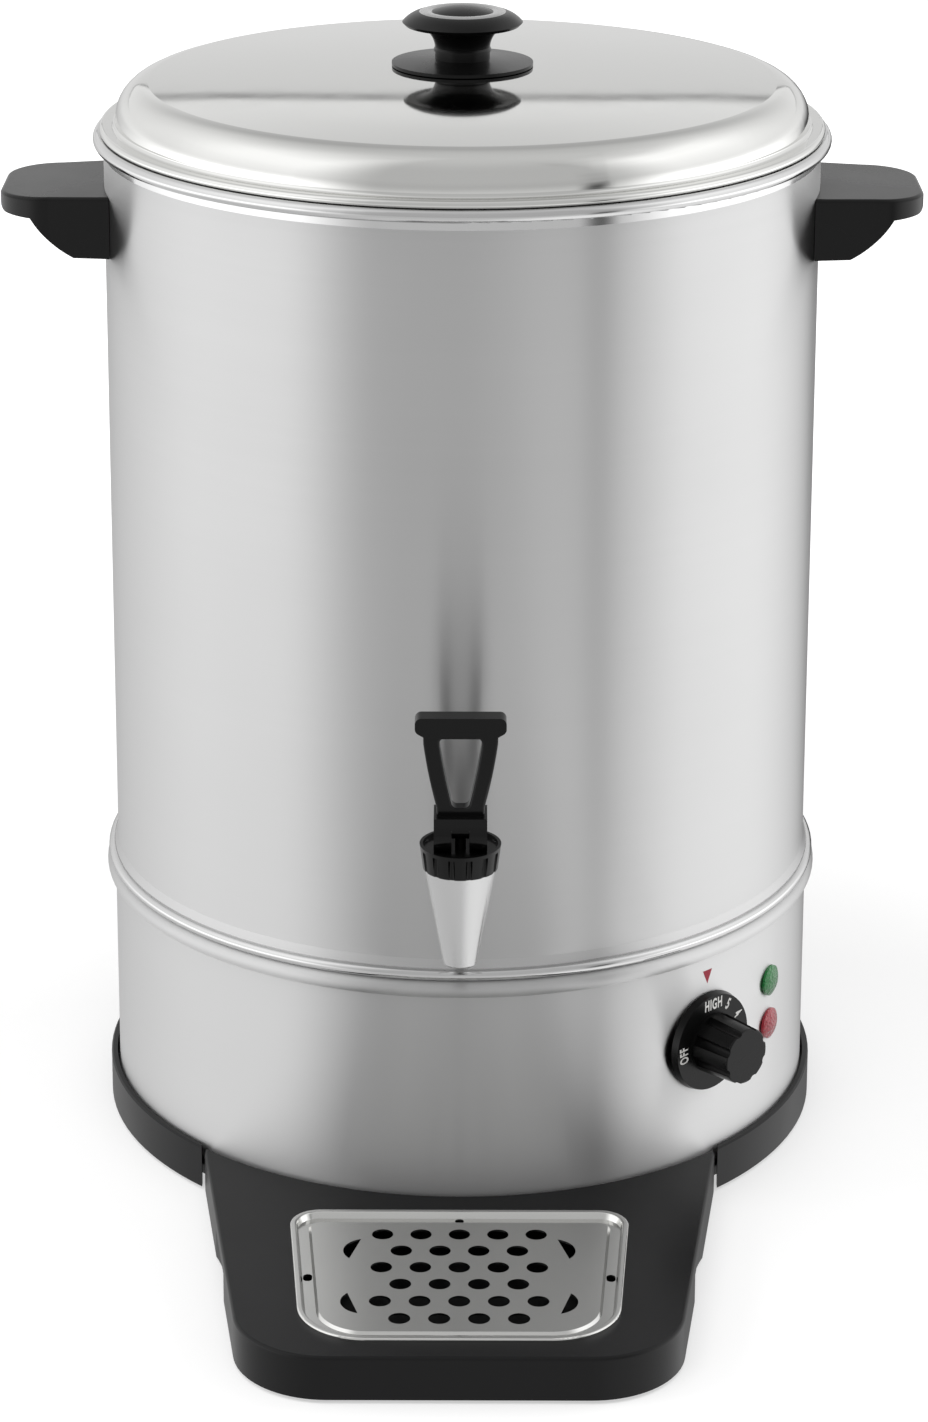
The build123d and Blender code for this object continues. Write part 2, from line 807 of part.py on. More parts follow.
with BuildPart() as thermostat_body:
    with BuildSketch(radial_plane(dial_azimuth, dial_height, body_face)) as body_outline:
        RectangleRounded(thermostat_width, thermostat_width, grip_edge)
    extrude(amount=-thermostat_depth)
    with BuildSketch(radial_plane(dial_azimuth, dial_height, body_face)) as shoulder_outline:
        Circle(bush_shoulder_radius)
    extrude(amount=thermostat_setback - sheet - 2 * curved_seat)
    with BuildSketch(radial_plane(dial_azimuth, dial_height, body_face)) as bush_outline:
        Circle(bush_radius)
    extrude(amount=bush_end - body_face)
    with BuildSketch(radial_plane(dial_azimuth, dial_height, bush_end)) as spindle_hole:
        Circle(spindle_radius + running_fit)
    extrude(amount=-(bush_end - body_face + thermostat_depth / 2), mode=Mode.SUBTRACT)
save(thermostat_body.part, "thermostat_body")

with BuildPart() as thermostat_nut:
    with BuildSketch(radial_plane(dial_azimuth, dial_height, nut_face)) as bush_nut_outline:
        RegularPolygon(thermostat_nut_width / 2, hex_sides, major_radius=False)
        Circle(bush_radius + push_fit, mode=Mode.SUBTRACT)
    extrude(amount=thermostat_nut_height)
save(thermostat_nut.part, "thermostat_nut")


def spindle_section(grow):
    """The D of the spindle, grown by a clearance."""
    with BuildSketch(mode=Mode.PRIVATE) as d_section:
        Circle(spindle_radius + grow)
        with Locations((0, spindle_radius - spindle_flat + grow)):
            Rectangle(
                2 * (spindle_radius + grow),
                spindle_radius,
                align=(Align.CENTER, Align.MIN),
                mode=Mode.SUBTRACT,
            )
    return d_section.sketch


with BuildPart() as thermostat_spindle:
    spindle_start = body_face - thermostat_depth / 2
    with BuildSketch(radial_plane(dial_azimuth, dial_height, spindle_start + push_fit)):
        Circle(spindle_radius)
    extrude(amount=bush_end - spindle_start)
    with BuildSketch(radial_plane(dial_azimuth, dial_height, bush_end)):
        add(spindle_section(0))
    extrude(amount=spindle_end - bush_end)
save(thermostat_spindle.part, "thermostat_spindle")

with BuildPart() as dial_knob:
    dial_back = dial_face - dial_thickness
    with BuildSketch(radial_plane(dial_azimuth, dial_height, dial_back)) as dial_outline:
        Circle(dial_radius)
    extrude(amount=dial_thickness, taper=degrees(asin(dial_draft / dial_thickness)))
    with BuildSketch(radial_plane(dial_azimuth, dial_height, dial_face)) as grip_base:
        Circle(grip_base_radius)
    grip_taper = degrees(asin((grip_base_radius - grip_tip_radius) / grip_length))
    extrude(amount=grip_length, taper=grip_taper)
    fillet(dial_knob.edges().filter_by(GeomType.CIRCLE).sort_by(SortBy.DISTANCE)[-1:], grip_edge)
    with BuildSketch(radial_plane(dial_azimuth, dial_height, dial_face + grip_flute_floor)) as flutes:
        with PolarLocations(grip_base_radius, grip_flute_count, start_angle=180 / grip_flute_count):
            Circle(grip_flute_radius)
    extrude(amount=grip_length, mode=Mode.SUBTRACT)
    with BuildSketch(radial_plane(dial_azimuth, dial_height, dial_back)) as nut_pocket:
        Circle(dial_pocket_radius)
    extrude(amount=dial_pocket_depth, mode=Mode.SUBTRACT)
    with BuildSketch(radial_plane(dial_azimuth, dial_height, dial_back)) as spindle_socket:
        add(spindle_section(push_fit))
    extrude(amount=spindle_engagement + push_fit, mode=Mode.SUBTRACT)
save(dial_knob.part, "dial_knob")

# the probe lies along the underside of the floor, and its capillary drops to the thermostat
probe_height = floor_height - probe_radius - running_fit
with BuildPart() as thermostat_probe:
    probe_out = spreader_radius + probe_gap + probe_length
    body_inner = body_face - thermostat_depth / 2
    outward = radial_plane(dial_azimuth, 0, 0).z_dir
    drop_top = dial_height + thermostat_width / 2
    probe_start = outward * probe_out + Vector(0, 0, probe_height)
    probe_corner = outward * body_inner + Vector(0, 0, probe_height)
    probe_end = outward * body_inner + Vector(0, 0, drop_top)
    with BuildLine() as capillary_path:
        FilletPolyline(probe_start, probe_corner, probe_end, radius=capillary_bend)
    with BuildSketch(Plane(origin=probe_start, z_dir=outward)) as capillary_section:
        Circle(capillary_radius)
    sweep(path=capillary_path.line)
    with BuildSketch(Plane(origin=probe_start, z_dir=-outward)) as bulb_section:
        Circle(probe_radius)
    extrude(amount=probe_length)
save(thermostat_probe.part, "thermostat_probe")


# ---------------------------------------------------------------- pilot lamps
def make_lens(height):
    """A domed lens with a neck that passes through the skirt."""
    back = skirt_radius + curved_seat
    lens_plane = radial_plane(lamp_azimuth, height, back)
    neck_plane = radial_plane(lamp_azimuth, height, skirt_inner - lens_rim)
    with BuildPart() as lens:
        with BuildSketch(lens_plane) as rim_outline:
            Circle(lens_radius)
        extrude(amount=lens_rim + lens_dome)
        dome_radius = (lens_radius**2 + lens_dome**2) / (2 * lens_dome)
        dome_centre = back + lens_rim + lens_dome - dome_radius
        with Locations(radial_plane(lamp_azimuth, height, dome_centre).location):
            Sphere(dome_radius, mode=Mode.INTERSECT)
        with BuildSketch(neck_plane) as neck_outline:
            Circle(lens_neck_radius)
        extrude(amount=back - skirt_inner + lens_rim)
    return lens.part


save(make_lens(lamp_green_height), "lamp_lens_green")
save(make_lens(lamp_red_height), "lamp_lens_red")

with BuildPart() as lamp_bodies:
    for lamp_height in (lamp_green_height, lamp_red_height):
        lamp_front = skirt_inner - lens_rim
        tag_start = lamp_front - lamp_body_length
        with BuildSketch(radial_plane(lamp_azimuth, lamp_height, lamp_front)):
            Circle(lamp_body_radius)
        extrude(amount=-lamp_body_length)
        with BuildSketch(radial_plane(lamp_azimuth, lamp_height, tag_start)):
            with GridLocations(1, lamp_body_radius, 1, 2):
                Rectangle(lamp_tag_width, lamp_tag_thickness)
        extrude(amount=-lamp_tag_length)
save(lamp_bodies.part, "lamp_bodies")

with BuildPart() as lamp_clips:
    for lamp_height in (lamp_green_height, lamp_red_height):
        with BuildSketch(radial_plane(lamp_azimuth, lamp_height, skirt_inner - lens_rim)):
            Circle(lamp_clip_radius)
            Circle(lamp_body_radius + push_fit, mode=Mode.SUBTRACT)
        extrude(amount=-lamp_clip_thickness)
save(lamp_clips.part, "lamp_clips")

# ---------------------------------------------------------------- cutout, terminals, cord gland
with BuildPart() as boil_dry_cutout:
    with BuildSketch(Plane.XY.offset(plate_top)) as cutout_foot:
        with Locations((cutout_x, cutout_y)):
            Circle(cutout_radius + cutout_flange)
    extrude(amount=plate_sheet)
    with BuildSketch(Plane.XY.offset(plate_top)) as cutout_outline:
        with Locations((cutout_x, cutout_y)):
            Circle(cutout_radius)
    extrude(amount=cutout_height)
    with BuildSketch(Plane.XY.offset(plate_top)) as button_well:
        with Locations((cutout_x, cutout_y)):
            Circle(button_head_radius + drop_in_gap)
    extrude(amount=plate_sheet + 2 * button_travel, mode=Mode.SUBTRACT)
save(boil_dry_cutout.part, "boil_dry_cutout")

with BuildPart() as reset_button:
    with BuildSketch(Plane.XY.offset(plate_height - button_proud)) as button_outline:
        with Locations((cutout_x, cutout_y)):
            Circle(button_radius)
    extrude(amount=button_proud + plate_sheet + push_fit)
    with BuildSketch(Plane.XY.offset(plate_top + push_fit)) as button_flange:
        with Locations((cutout_x, cutout_y)):
            Circle(button_head_radius)
    extrude(amount=plate_sheet)
save(reset_button.part, "reset_button")

with BuildPart() as terminal_block:
    with BuildSketch(Plane.XY.offset(plate_top)) as terminal_outline:
        with Locations((0, terminal_y)):
            RectangleRounded(terminal_length, terminal_depth, moulded_corner)
    extrude(amount=terminal_height)
    with BuildSketch(Plane.XZ.offset(-terminal_y - terminal_depth / 2)) as wire_entries:
        with Locations((0, plate_top + terminal_height / 2)):
            with GridLocations(terminal_length / terminal_ways, 1, terminal_ways, 1):
                Circle(terminal_hole_radius)
    extrude(amount=terminal_depth, mode=Mode.SUBTRACT)
save(terminal_block.part, "terminal_block")

gland_outer_face = skirt_radius + curved_seat
gland_inner_face = skirt_inner - curved_seat
with BuildPart() as cord_gland:
    with BuildSketch(radial_plane(180, gland_height, gland_outer_face)) as gland_hex:
        RegularPolygon(gland_hex_width / 2, hex_sides, major_radius=False)
    extrude(amount=gland_hex_length)
    with BuildSketch(radial_plane(180, gland_height, gland_outer_face + gland_hex_length)):
        Circle(gland_cap_radius)
    extrude(amount=gland_cap_length)
    fillet(cord_gland.edges().filter_by(GeomType.CIRCLE).sort_by(Axis.Y)[-1], moulded_corner)
    with BuildSketch(radial_plane(180, gland_height, gland_outer_face)) as gland_tail:
        Circle(gland_thread_radius)
    extrude(amount=-gland_tail_length)
    gland_end = gland_outer_face + gland_hex_length + gland_cap_length
    with BuildSketch(radial_plane(180, gland_height, gland_end)) as gland_bore:
        Circle(gland_bore_radius)
    extrude(amount=-(gland_end - gland_outer_face + gland_tail_length), mode=Mode.SUBTRACT)
save(cord_gland.part, "cord_gland")

with BuildPart() as cord_gland_nut:
    with BuildSketch(radial_plane(180, gland_height, gland_inner_face - sheet / 2)) as gland_nut:
        RegularPolygon(gland_nut_width / 2, hex_sides, major_radius=False)
        Circle(gland_thread_radius + push_fit, mode=Mode.SUBTRACT)
    extrude(amount=-gland_nut_height)
save(cord_gland_nut.part, "cord_gland_nut")

# ---------------------------------------------------------------- tap
shank_plane = Plane(origin=(0, tap_y, shank_height), x_dir=(-1, 0, 0), z_dir=(0, 1, 0))
collar_back = tap_reach - tap_seal_thickness

with BuildPart() as tap_body:
    with BuildSketch(tap_section) as spout_section:
        with BuildLine():
            Polyline(
                (0, tap_tip_height),
                (tap_tip_radius, tap_tip_height),
                (tap_shoulder_radius, tap_shoulder_height),
                (tap_neck_radius, tap_shoulder_height),
                (tap_neck_radius, tap_shoulder_height + tap_neck_height),
                (0, tap_shoulder_height + tap_neck_height),
                close=True,
            )
        make_face()
        tip_corner = spout_section.vertices().group_by(Axis.Y)[0].sort_by(Axis.X)[-1]
        fillet(tip_corner, tap_tip_round)
    revolve(axis=tap_axis)
    with BuildSketch(shank_plane) as shank_outline:
        Circle(shank_radius)
    extrude(amount=tap_reach + shank_inside_length)
    with BuildSketch(shank_plane.offset(collar_back - collar_thickness)) as collar_outline:
        Circle(collar_radius)
    extrude(amount=collar_thickness)
    with BuildSketch(tap_section) as chamber_section:
        with BuildLine():
            Polyline(
                (0, tap_tip_height),
                (tap_tip_bore, tap_tip_height),
                (tap_seat_bore, tap_seat_height - tap_seat_thickness),
                (tap_seat_bore, tap_seat_height),
                (tap_chamber_radius, tap_seat_height),
                (tap_chamber_top_radius, tap_seat_height + tap_chamber_cone),
                (tap_chamber_top_radius, tap_shoulder_height + tap_neck_height),
                (0, tap_shoulder_height + tap_neck_height),
                close=True,
            )
        make_face()
    revolve(axis=tap_axis, mode=Mode.SUBTRACT)
    with BuildSketch(shank_plane) as shank_hole:
        Circle(shank_bore)
    extrude(amount=tap_reach + shank_inside_length, mode=Mode.SUBTRACT)
save(tap_body.part, "tap_body")

with BuildPart() as tap_outer_seal:
    with BuildSketch(shank_plane.offset(collar_back)) as outer_ring:
        Circle(collar_radius)
        Circle(shank_radius + screw_fit, mode=Mode.SUBTRACT)
    extrude(amount=2 * tap_seal_thickness)
    with BuildSketch(Plane.XY.offset(shank_height - collar_radius)) as outer_wall:
        Circle(body_radius + curved_seat)
    extrude(amount=2 * collar_radius, mode=Mode.SUBTRACT)
save(tap_outer_seal.part, "tap_outer_seal")

inner_seal_face = tap_reach + sheet + tap_seal_thickness
with BuildPart() as tap_inner_seal:
    with BuildSketch(shank_plane.offset(inner_seal_face)) as inner_ring:
        Circle(collar_radius)
        Circle(shank_radius + screw_fit, mode=Mode.SUBTRACT)
    extrude(amount=-2 * tap_seal_thickness)
    with BuildSketch(Plane.XY.offset(shank_height - collar_radius)) as inner_wall:
        Circle(tank_inner - curved_seat)
    extrude(amount=2 * collar_radius, mode=Mode.INTERSECT)
save(tap_inner_seal.part, "tap_inner_seal")

with BuildPart() as tap_nut:
    with BuildSketch(shank_plane.offset(inner_seal_face)) as shank_nut_outline:
        RegularPolygon(tap_nut_width / 2, hex_sides, major_radius=False)
        Circle(shank_radius + push_fit, mode=Mode.SUBTRACT)
    extrude(amount=tap_nut_height)
save(tap_nut.part, "tap_nut")

bonnet_top = tap_shoulder_height + bonnet_height
bonnet_plate_top = bonnet_top - bonnet_lip_height
bonnet_plate_bottom = bonnet_plate_top - bonnet_plate
with BuildPart() as tap_bonnet:
    with BuildSketch(tap_section) as bonnet_section:
        with BuildLine():
            Polyline(
                (tap_neck_radius + push_fit, tap_shoulder_height),
                (bonnet_foot_radius, tap_shoulder_height),
                (bonnet_top_radius, bonnet_top),
                (bonnet_top_radius - bonnet_lip_width, bonnet_top),
                (bonnet_top_radius - bonnet_lip_width, bonnet_plate_top),
                (stem_radius + running_fit, bonnet_plate_top),
                (stem_radius + running_fit, bonnet_plate_bottom),
                (tap_neck_radius + push_fit, bonnet_plate_bottom),
                close=True,
            )
        make_face()
    revolve(axis=tap_axis)
    with BuildSketch(Plane(origin=(0, tap_y, tap_shoulder_height))) as bonnet_flutes:
        with PolarLocations(bonnet_flute_centre, bonnet_flute_count):
            Circle(bonnet_flute_radius)
    extrude(amount=bonnet_height - bonnet_lip_height, mode=Mode.SUBTRACT)
save(tap_bonnet.part, "tap_bonnet")

cup_bottom = tap_seat_height + cup_lift_gap
disc_bottom = cup_bottom + cup_floor + push_fit
disc_top = disc_bottom + stem_disc_thickness
with BuildPart() as tap_stem:
    with BuildSketch(tap_section) as stem_section:
        with BuildLine():
            Polyline(
                (0, disc_bottom),
                (stem_disc_radius, disc_bottom),
                (stem_disc_radius, disc_top),
                (stem_radius, disc_top),
                (stem_radius, pin_height - (eye_radius + pin_radius) / 2),
                (0, pin_height - (eye_radius + pin_radius) / 2),
                close=True,
            )
        make_face()
    revolve(axis=tap_axis)
    with BuildSketch(Plane.YZ) as eye_section:
        with Locations((tap_y, pin_height)):
            Circle(eye_radius)
            Circle(pin_radius + running_fit, mode=Mode.SUBTRACT)
    extrude(amount=eye_width / 2, both=True)
save(tap_stem.part, "tap_stem")

with BuildPart() as tap_seat_cup:
    with BuildSketch(tap_section) as cup_section:
        with BuildLine():
            Polyline(
                (0, cup_bottom),
                (cup_radius, cup_bottom),
                (cup_radius, cup_bottom + cup_height),
                (stem_radius + push_fit, cup_bottom + cup_height),
                (stem_radius + push_fit, disc_top + push_fit),
                (stem_disc_radius + push_fit, disc_top + push_fit),
                (stem_disc_radius + push_fit, cup_bottom + cup_floor),
                (0, cup_bottom + cup_floor),
                close=True,
            )
        make_face()
    revolve(axis=tap_axis)
save(tap_seat_cup.part, "tap_seat_cup")

spring_bottom = cup_bottom + cup_height + spring_wire + spring_end_gap
spring_top = bonnet_plate_bottom - spring_wire - spring_end_gap
with BuildPart() as tap_spring:
    with BuildLine(Plane(origin=(0, tap_y, spring_bottom))) as coil:
        Helix((spring_top - spring_bottom) / spring_turns, spring_top - spring_bottom, spring_radius)
    with BuildSketch(Plane(origin=coil.line @ 0, z_dir=coil.line % 0)) as wire_section:
        Circle(spring_wire)
    sweep(path=coil.line)
save(tap_spring.part, "tap_spring")

# ---------------------------------------------------------------- tap lever
frame_top = lever_bar_bottom + 2 * lever_edge
cam_radius = pin_height - bonnet_plate_top - cam_gap
with BuildPart() as tap_lever:
    with BuildSketch(lever_section) as lever_outline:
        with BuildLine() as half_outline:
            Line((0, lever_hub_top - lever_edge), (lever_neck_half, lever_hub_top - lever_edge))
            Line((lever_neck_half, lever_hub_top - lever_edge), (lever_neck_half, lever_neck_height))
            leg_middle = (
                (lever_neck_half + lever_leg_half) / 2 + lever_leg_bulge,
                (lever_neck_height + lever_leg_top) / 2,
            )
            ThreePointArc(
                (lever_neck_half, lever_neck_height), leg_middle, (lever_leg_half, lever_leg_top)
            )
            Line((lever_leg_half, lever_leg_top), (lever_leg_half, frame_top))
            Line((lever_leg_half, frame_top), (0, frame_top))
            mirror(about=Plane.YZ)
        make_face()
        with BuildLine() as half_loop:
            loop_middle = (
                (loop_top_half + loop_bottom_half) / 2 + lever_leg_bulge,
                (loop_bottom + lever_bar_bottom) / 2,
            )
            Line((0, loop_bottom), (loop_bottom_half, loop_bottom))
            ThreePointArc(
                (loop_bottom_half, loop_bottom), loop_middle, (loop_top_half, lever_bar_bottom)
            )
            Line((loop_top_half, lever_bar_bottom), (0, lever_bar_bottom))
            mirror(about=Plane.YZ)
        make_face(mode=Mode.SUBTRACT)
        inner = lever_outline.face().inner_wires()[0]
        fillet([corner for corner in inner.vertices() if abs(corner.X) > lever_edge], loop_corner)
    extrude(amount=lever_thickness / 2, both=True)
    rims = tap_lever.faces().filter_by(Axis.Y).edges()
    fillet(rims.filter_by(lambda rim: lever_hub_top < rim.center().Z - pin_height < lever_leg_top), lever_edge)
    # the finger bar along the top
    with BuildSketch(lever_section) as bar_outline:
        with BuildLine():
            Polyline(
                (lever_leg_half - lever_edge, lever_bar_bottom),
                (lever_bar_half, lever_bar_bottom + lever_bar_corner),
                (lever_bar_half, lever_bar_top),
                (-lever_bar_half, lever_bar_top),
                (-lever_bar_half, lever_bar_bottom + lever_bar_corner),
                (-lever_leg_half + lever_edge, lever_bar_bottom),
                close=True,
            )
        make_face()
        bar_corners = bar_outline.vertices().group_by(Axis.Y)
        fillet(bar_corners[-1] + bar_corners[1], lever_bar_corner)
    extrude(amount=lever_bar_thickness / 2, both=True)
    # the hub, whose round heel lifts the stem as the lever tips forwards
    with BuildSketch(Plane.YZ) as hub_section:
        with Locations((tap_y - cam_offset, pin_height)):
            Circle(cam_radius)
        with Locations((tap_y, pin_height)):
            Rectangle(lever_hub_depth, lever_hub_top, align=(Align.CENTER, Align.MIN))
            Rectangle(lever_hub_depth / 2, cam_radius - lever_hub_edge, align=(Align.MIN, Align.MAX))
    extrude(amount=lever_hub_half, both=True)
    with BuildSketch(Plane.YZ) as pin_hole:
        with Locations((tap_y, pin_height)):
            Circle(pin_radius + push_fit)
    extrude(amount=lever_hub_half, both=True, mode=Mode.SUBTRACT)
    with BuildSketch(Plane.YZ) as stem_slot:
        with Locations((tap_y, pin_height + lever_slot_height)):
            Rectangle(
                2 * lever_hub_depth,
                2 * lever_slot_height + cam_radius,
                align=(Align.CENTER, Align.MAX),
            )
    extrude(amount=eye_width / 2 + 2 * running_fit, both=True, mode=Mode.SUBTRACT)
save(tap_lever.part, "tap_lever")

with BuildPart() as tap_lever_pin:
    with BuildSketch(Plane.YZ) as lever_pin_outline:
        with Locations((tap_y, pin_height)):
            Circle(pin_radius)
    extrude(amount=pin_length / 2, both=True)
save(tap_lever_pin.part, "tap_lever_pin")

# ---------------------------------------------------------------- lid
bead_reach = rim_roll_radius + lid_bead_radius + soft_seat
bead_centre_radius = roll_centre_radius - lid_bead_inset
bead_centre_height = roll_centre_height + sqrt(bead_reach**2 - lid_bead_inset**2)
bead_line_radius = lid_bead_radius - sheet / 2
ledge_height = bead_centre_height + bead_line_radius
wall_line_radius = lid_wall_radius - sheet / 2
shoulder_line_radius = lid_shoulder_radius - sheet / 2
dome_line_radius = lid_dome_radius - sheet / 2
dome_angle = asin((wall_line_radius - shoulder_line_radius) / (dome_line_radius - shoulder_line_radius))
shoulder_foot = ledge_height + lid_cove_radius + lid_wall_straight
dome_foot = shoulder_foot + shoulder_line_radius * cos(dome_angle)
dome_line_top = dome_foot + dome_line_radius * (1 - cos(dome_angle))
lid_top = dome_line_top + sheet / 2

with BuildPart() as lid_shell:
    with BuildSketch(Plane.XZ) as lid_section:
        with BuildLine() as lid_line:
            dome = JernArc((0, dome_line_top), (1, 0), dome_line_radius, -degrees(dome_angle))
            shoulder = JernArc(dome @ 1, dome % 1, shoulder_line_radius, -(90 - degrees(dome_angle)))
            straight = Line(shoulder @ 1, (wall_line_radius, ledge_height + lid_cove_radius))
            cove = JernArc(straight @ 1, (0, -1), lid_cove_radius, 90)
            ledge = Line(cove @ 1, (bead_centre_radius, ledge_height))
            JernArc(ledge @ 1, (1, 0), bead_line_radius, -lid_bead_wrap)
        trace(line_width=sheet)
    revolve(axis=Axis.Z)
    with BuildSketch(Plane.XY.offset(lid_top)) as knob_hole:
        Circle(lid_hole_radius)
    extrude(amount=-2 * sheet, mode=Mode.SUBTRACT)
save(lid_shell.part, "lid_shell")

ring_flange_top = ledge_height - sheet / 2
guide_outer = tank_inner - guide_ring_gap
with BuildPart() as lid_guide_ring:
    with BuildSketch(Plane.XZ) as guide_section:
        with BuildLine():
            Polyline(
                (guide_outer, ring_flange_top),
                (guide_outer, ring_flange_top - guide_ring_depth),
                (guide_outer - guide_ring_sheet, ring_flange_top - guide_ring_depth),
                (guide_outer - guide_ring_sheet, ring_flange_top - guide_ring_sheet),
                (guide_outer - guide_ring_flange, ring_flange_top - guide_ring_sheet),
                (guide_outer - guide_ring_flange, ring_flange_top),
                close=True,
            )
        make_face()
    revolve(axis=Axis.Z)
save(lid_guide_ring.part, "lid_guide_ring")

# ---------------------------------------------------------------- lid knob
collar_top = lid_top + disc_collar_height
with BuildPart() as knob_disc:
    with BuildSketch(Plane.XZ) as disc_section:
        with BuildLine():
            Polyline(
                (lid_hole_radius, lid_top),
                (disc_radius, lid_top),
                (disc_radius, lid_top + disc_edge),
                (disc_collar_radius, lid_top + disc_edge + disc_rise),
                (disc_collar_radius, collar_top),
                (lid_hole_radius, collar_top),
                close=True,
            )
        make_face()
    revolve(axis=Axis.Z)
save(knob_disc.part, "knob_disc")

recess_floor = collar_top + cap_shoulder_height - cap_recess_depth
with BuildPart() as knob_grip:
    with BuildSketch(Plane.XZ) as grip_section:
        with BuildLine():
            under = collar_top + grip_under_height
            edge = collar_top + cap_edge_height
            shoulder_point = (ring_outer_radius + push_fit, collar_top + cap_shoulder_height)
            waist_point = (stem_waist_radius, collar_top + 2 * stem_foot_height)
            flare_point = (stem_flare_radius, under)
            Polyline(
                (knob_screw_radius + push_fit, collar_top),
                (stem_foot_radius, collar_top),
                (stem_foot_radius, collar_top + stem_foot_height),
                waist_point,
            )
            SagittaArc(waist_point, flare_point, stem_flare_sag)
            Polyline(
                flare_point,
                (cap_radius - cap_edge_inset, under - cap_edge_drop),
                (cap_radius, edge),
            )
            SagittaArc((cap_radius, edge), shoulder_point, -cap_shoulder_bulge)
            Polyline(
                shoulder_point,
                (ring_outer_radius + push_fit, recess_floor),
                (0, recess_floor),
                (0, collar_top + knob_screw_length - disc_collar_height),
                (knob_screw_radius + push_fit, collar_top + knob_screw_length - disc_collar_height),
                (knob_screw_radius + push_fit, collar_top),
            )
        make_face()
    revolve(axis=Axis.Z)
save(knob_grip.part, "knob_grip")

ring_top_height = recess_floor + cap_recess_depth
with BuildPart() as knob_ring:
    with BuildSketch(Plane.XZ) as knob_ring_section:
        with BuildLine():
            Polyline(
                (ring_outer_radius, ring_top_height),
                (ring_outer_radius, recess_floor),
                (ring_inner_radius, recess_floor),
                (ring_inner_radius, ring_top_height),
            )
            SagittaArc(
                (ring_inner_radius, ring_top_height), (ring_outer_radius, ring_top_height), ring_crown
            )
        make_face()
    revolve(axis=Axis.Z)
save(knob_ring.part, "knob_ring")

with BuildPart() as knob_insert:
    insert_radius = ring_inner_radius - running_fit
    with BuildSketch(Plane.XZ) as insert_section:
        with BuildLine():
            Polyline(
                (0, ring_top_height + insert_dome),
                (0, recess_floor),
                (insert_radius, recess_floor),
                (insert_radius, ring_top_height),
            )
            dome_curve = (insert_radius**2 + insert_dome**2) / (2 * insert_dome)
            RadiusArc((0, ring_top_height + insert_dome), (insert_radius, ring_top_height), dome_curve)
        make_face()
    revolve(axis=Axis.Z)
save(knob_insert.part, "knob_insert")

with BuildPart() as knob_screw:
    with BuildSketch(Plane.XY.offset(lid_top - sheet - push_fit)) as knob_screw_head:
        Circle(knob_screw_head_radius)
    extrude(amount=-knob_screw_head_height)
    with BuildSketch(Plane.XY.offset(lid_top - sheet - push_fit)) as knob_screw_shank:
        Circle(knob_screw_radius)
    extrude(amount=knob_screw_length)
save(knob_screw.part, "knob_screw")


# ---------------------------------------------------------------- drip station
def platform_outline(grow):
    """The platform seen from above, grown outwards by a distance."""
    with BuildSketch(mode=Mode.PRIVATE) as outline:
        with BuildLine():
            Polyline(
                (-platform_back_half, platform_back_y),
                (-platform_front_half, platform_front_y),
                (platform_front_half, platform_front_y),
                (platform_back_half, platform_back_y),
                (platform_back_half, platform_back_y / 2),
                (-platform_back_half, platform_back_y / 2),
                close=True,
            )
        make_face()
        fillet(outline.vertices().group_by(Axis.Y)[0], platform_corner)
        if grow:
            offset(amount=grow, kind=Kind.INTERSECTION)
    return outline.sketch


def grille_outline(grow):
    """The drip grille seen from above, grown outwards by a distance."""
    with BuildSketch(mode=Mode.PRIVATE) as outline:
        with BuildLine():
            Polyline(
                (-grille_back_half, grille_back_y),
                (-grille_front_half, grille_front_y),
                (grille_front_half, grille_front_y),
                (grille_back_half, grille_back_y),
                close=True,
            )
        make_face()
        fillet(outline.vertices().group_by(Axis.Y)[0], grille_front_corner)
        fillet(outline.vertices().group_by(Axis.Y)[-1], grille_back_corner)
        if grow:
            offset(amount=grow)
    return outline.sketch


platform_top_height = platform_bottom + platform_height
platform_back_radius = skirt_radius + platform_back_gap
side_slope = (platform_back_half - platform_front_half) / (platform_back_y - platform_front_y)
gutter_height = platform_top_height + grille_lip_height - gutter_depth
gutter_bottom = gutter_height - grille_sheet
gutter_spread = tan(radians(gutter_wall_lean))
gutter_grow = -grille_lip_width - gutter_depth * gutter_spread
gutter_outer_grow = gutter_grow + grille_sheet * tan(radians(45 - gutter_wall_lean / 2))
opening_grow = gutter_outer_grow + (platform_top_height - gutter_bottom) * gutter_spread + drop_in_gap
front_pad = (platform_front_half - front_pad_inset, platform_front_y + front_pad_place)
back_pad = (platform_back_half - back_pad_inset, platform_back_y - back_pad_place)
pad_spots = [(side * x, y) for x, y in (front_pad, back_pad) for side in (1, -1)]

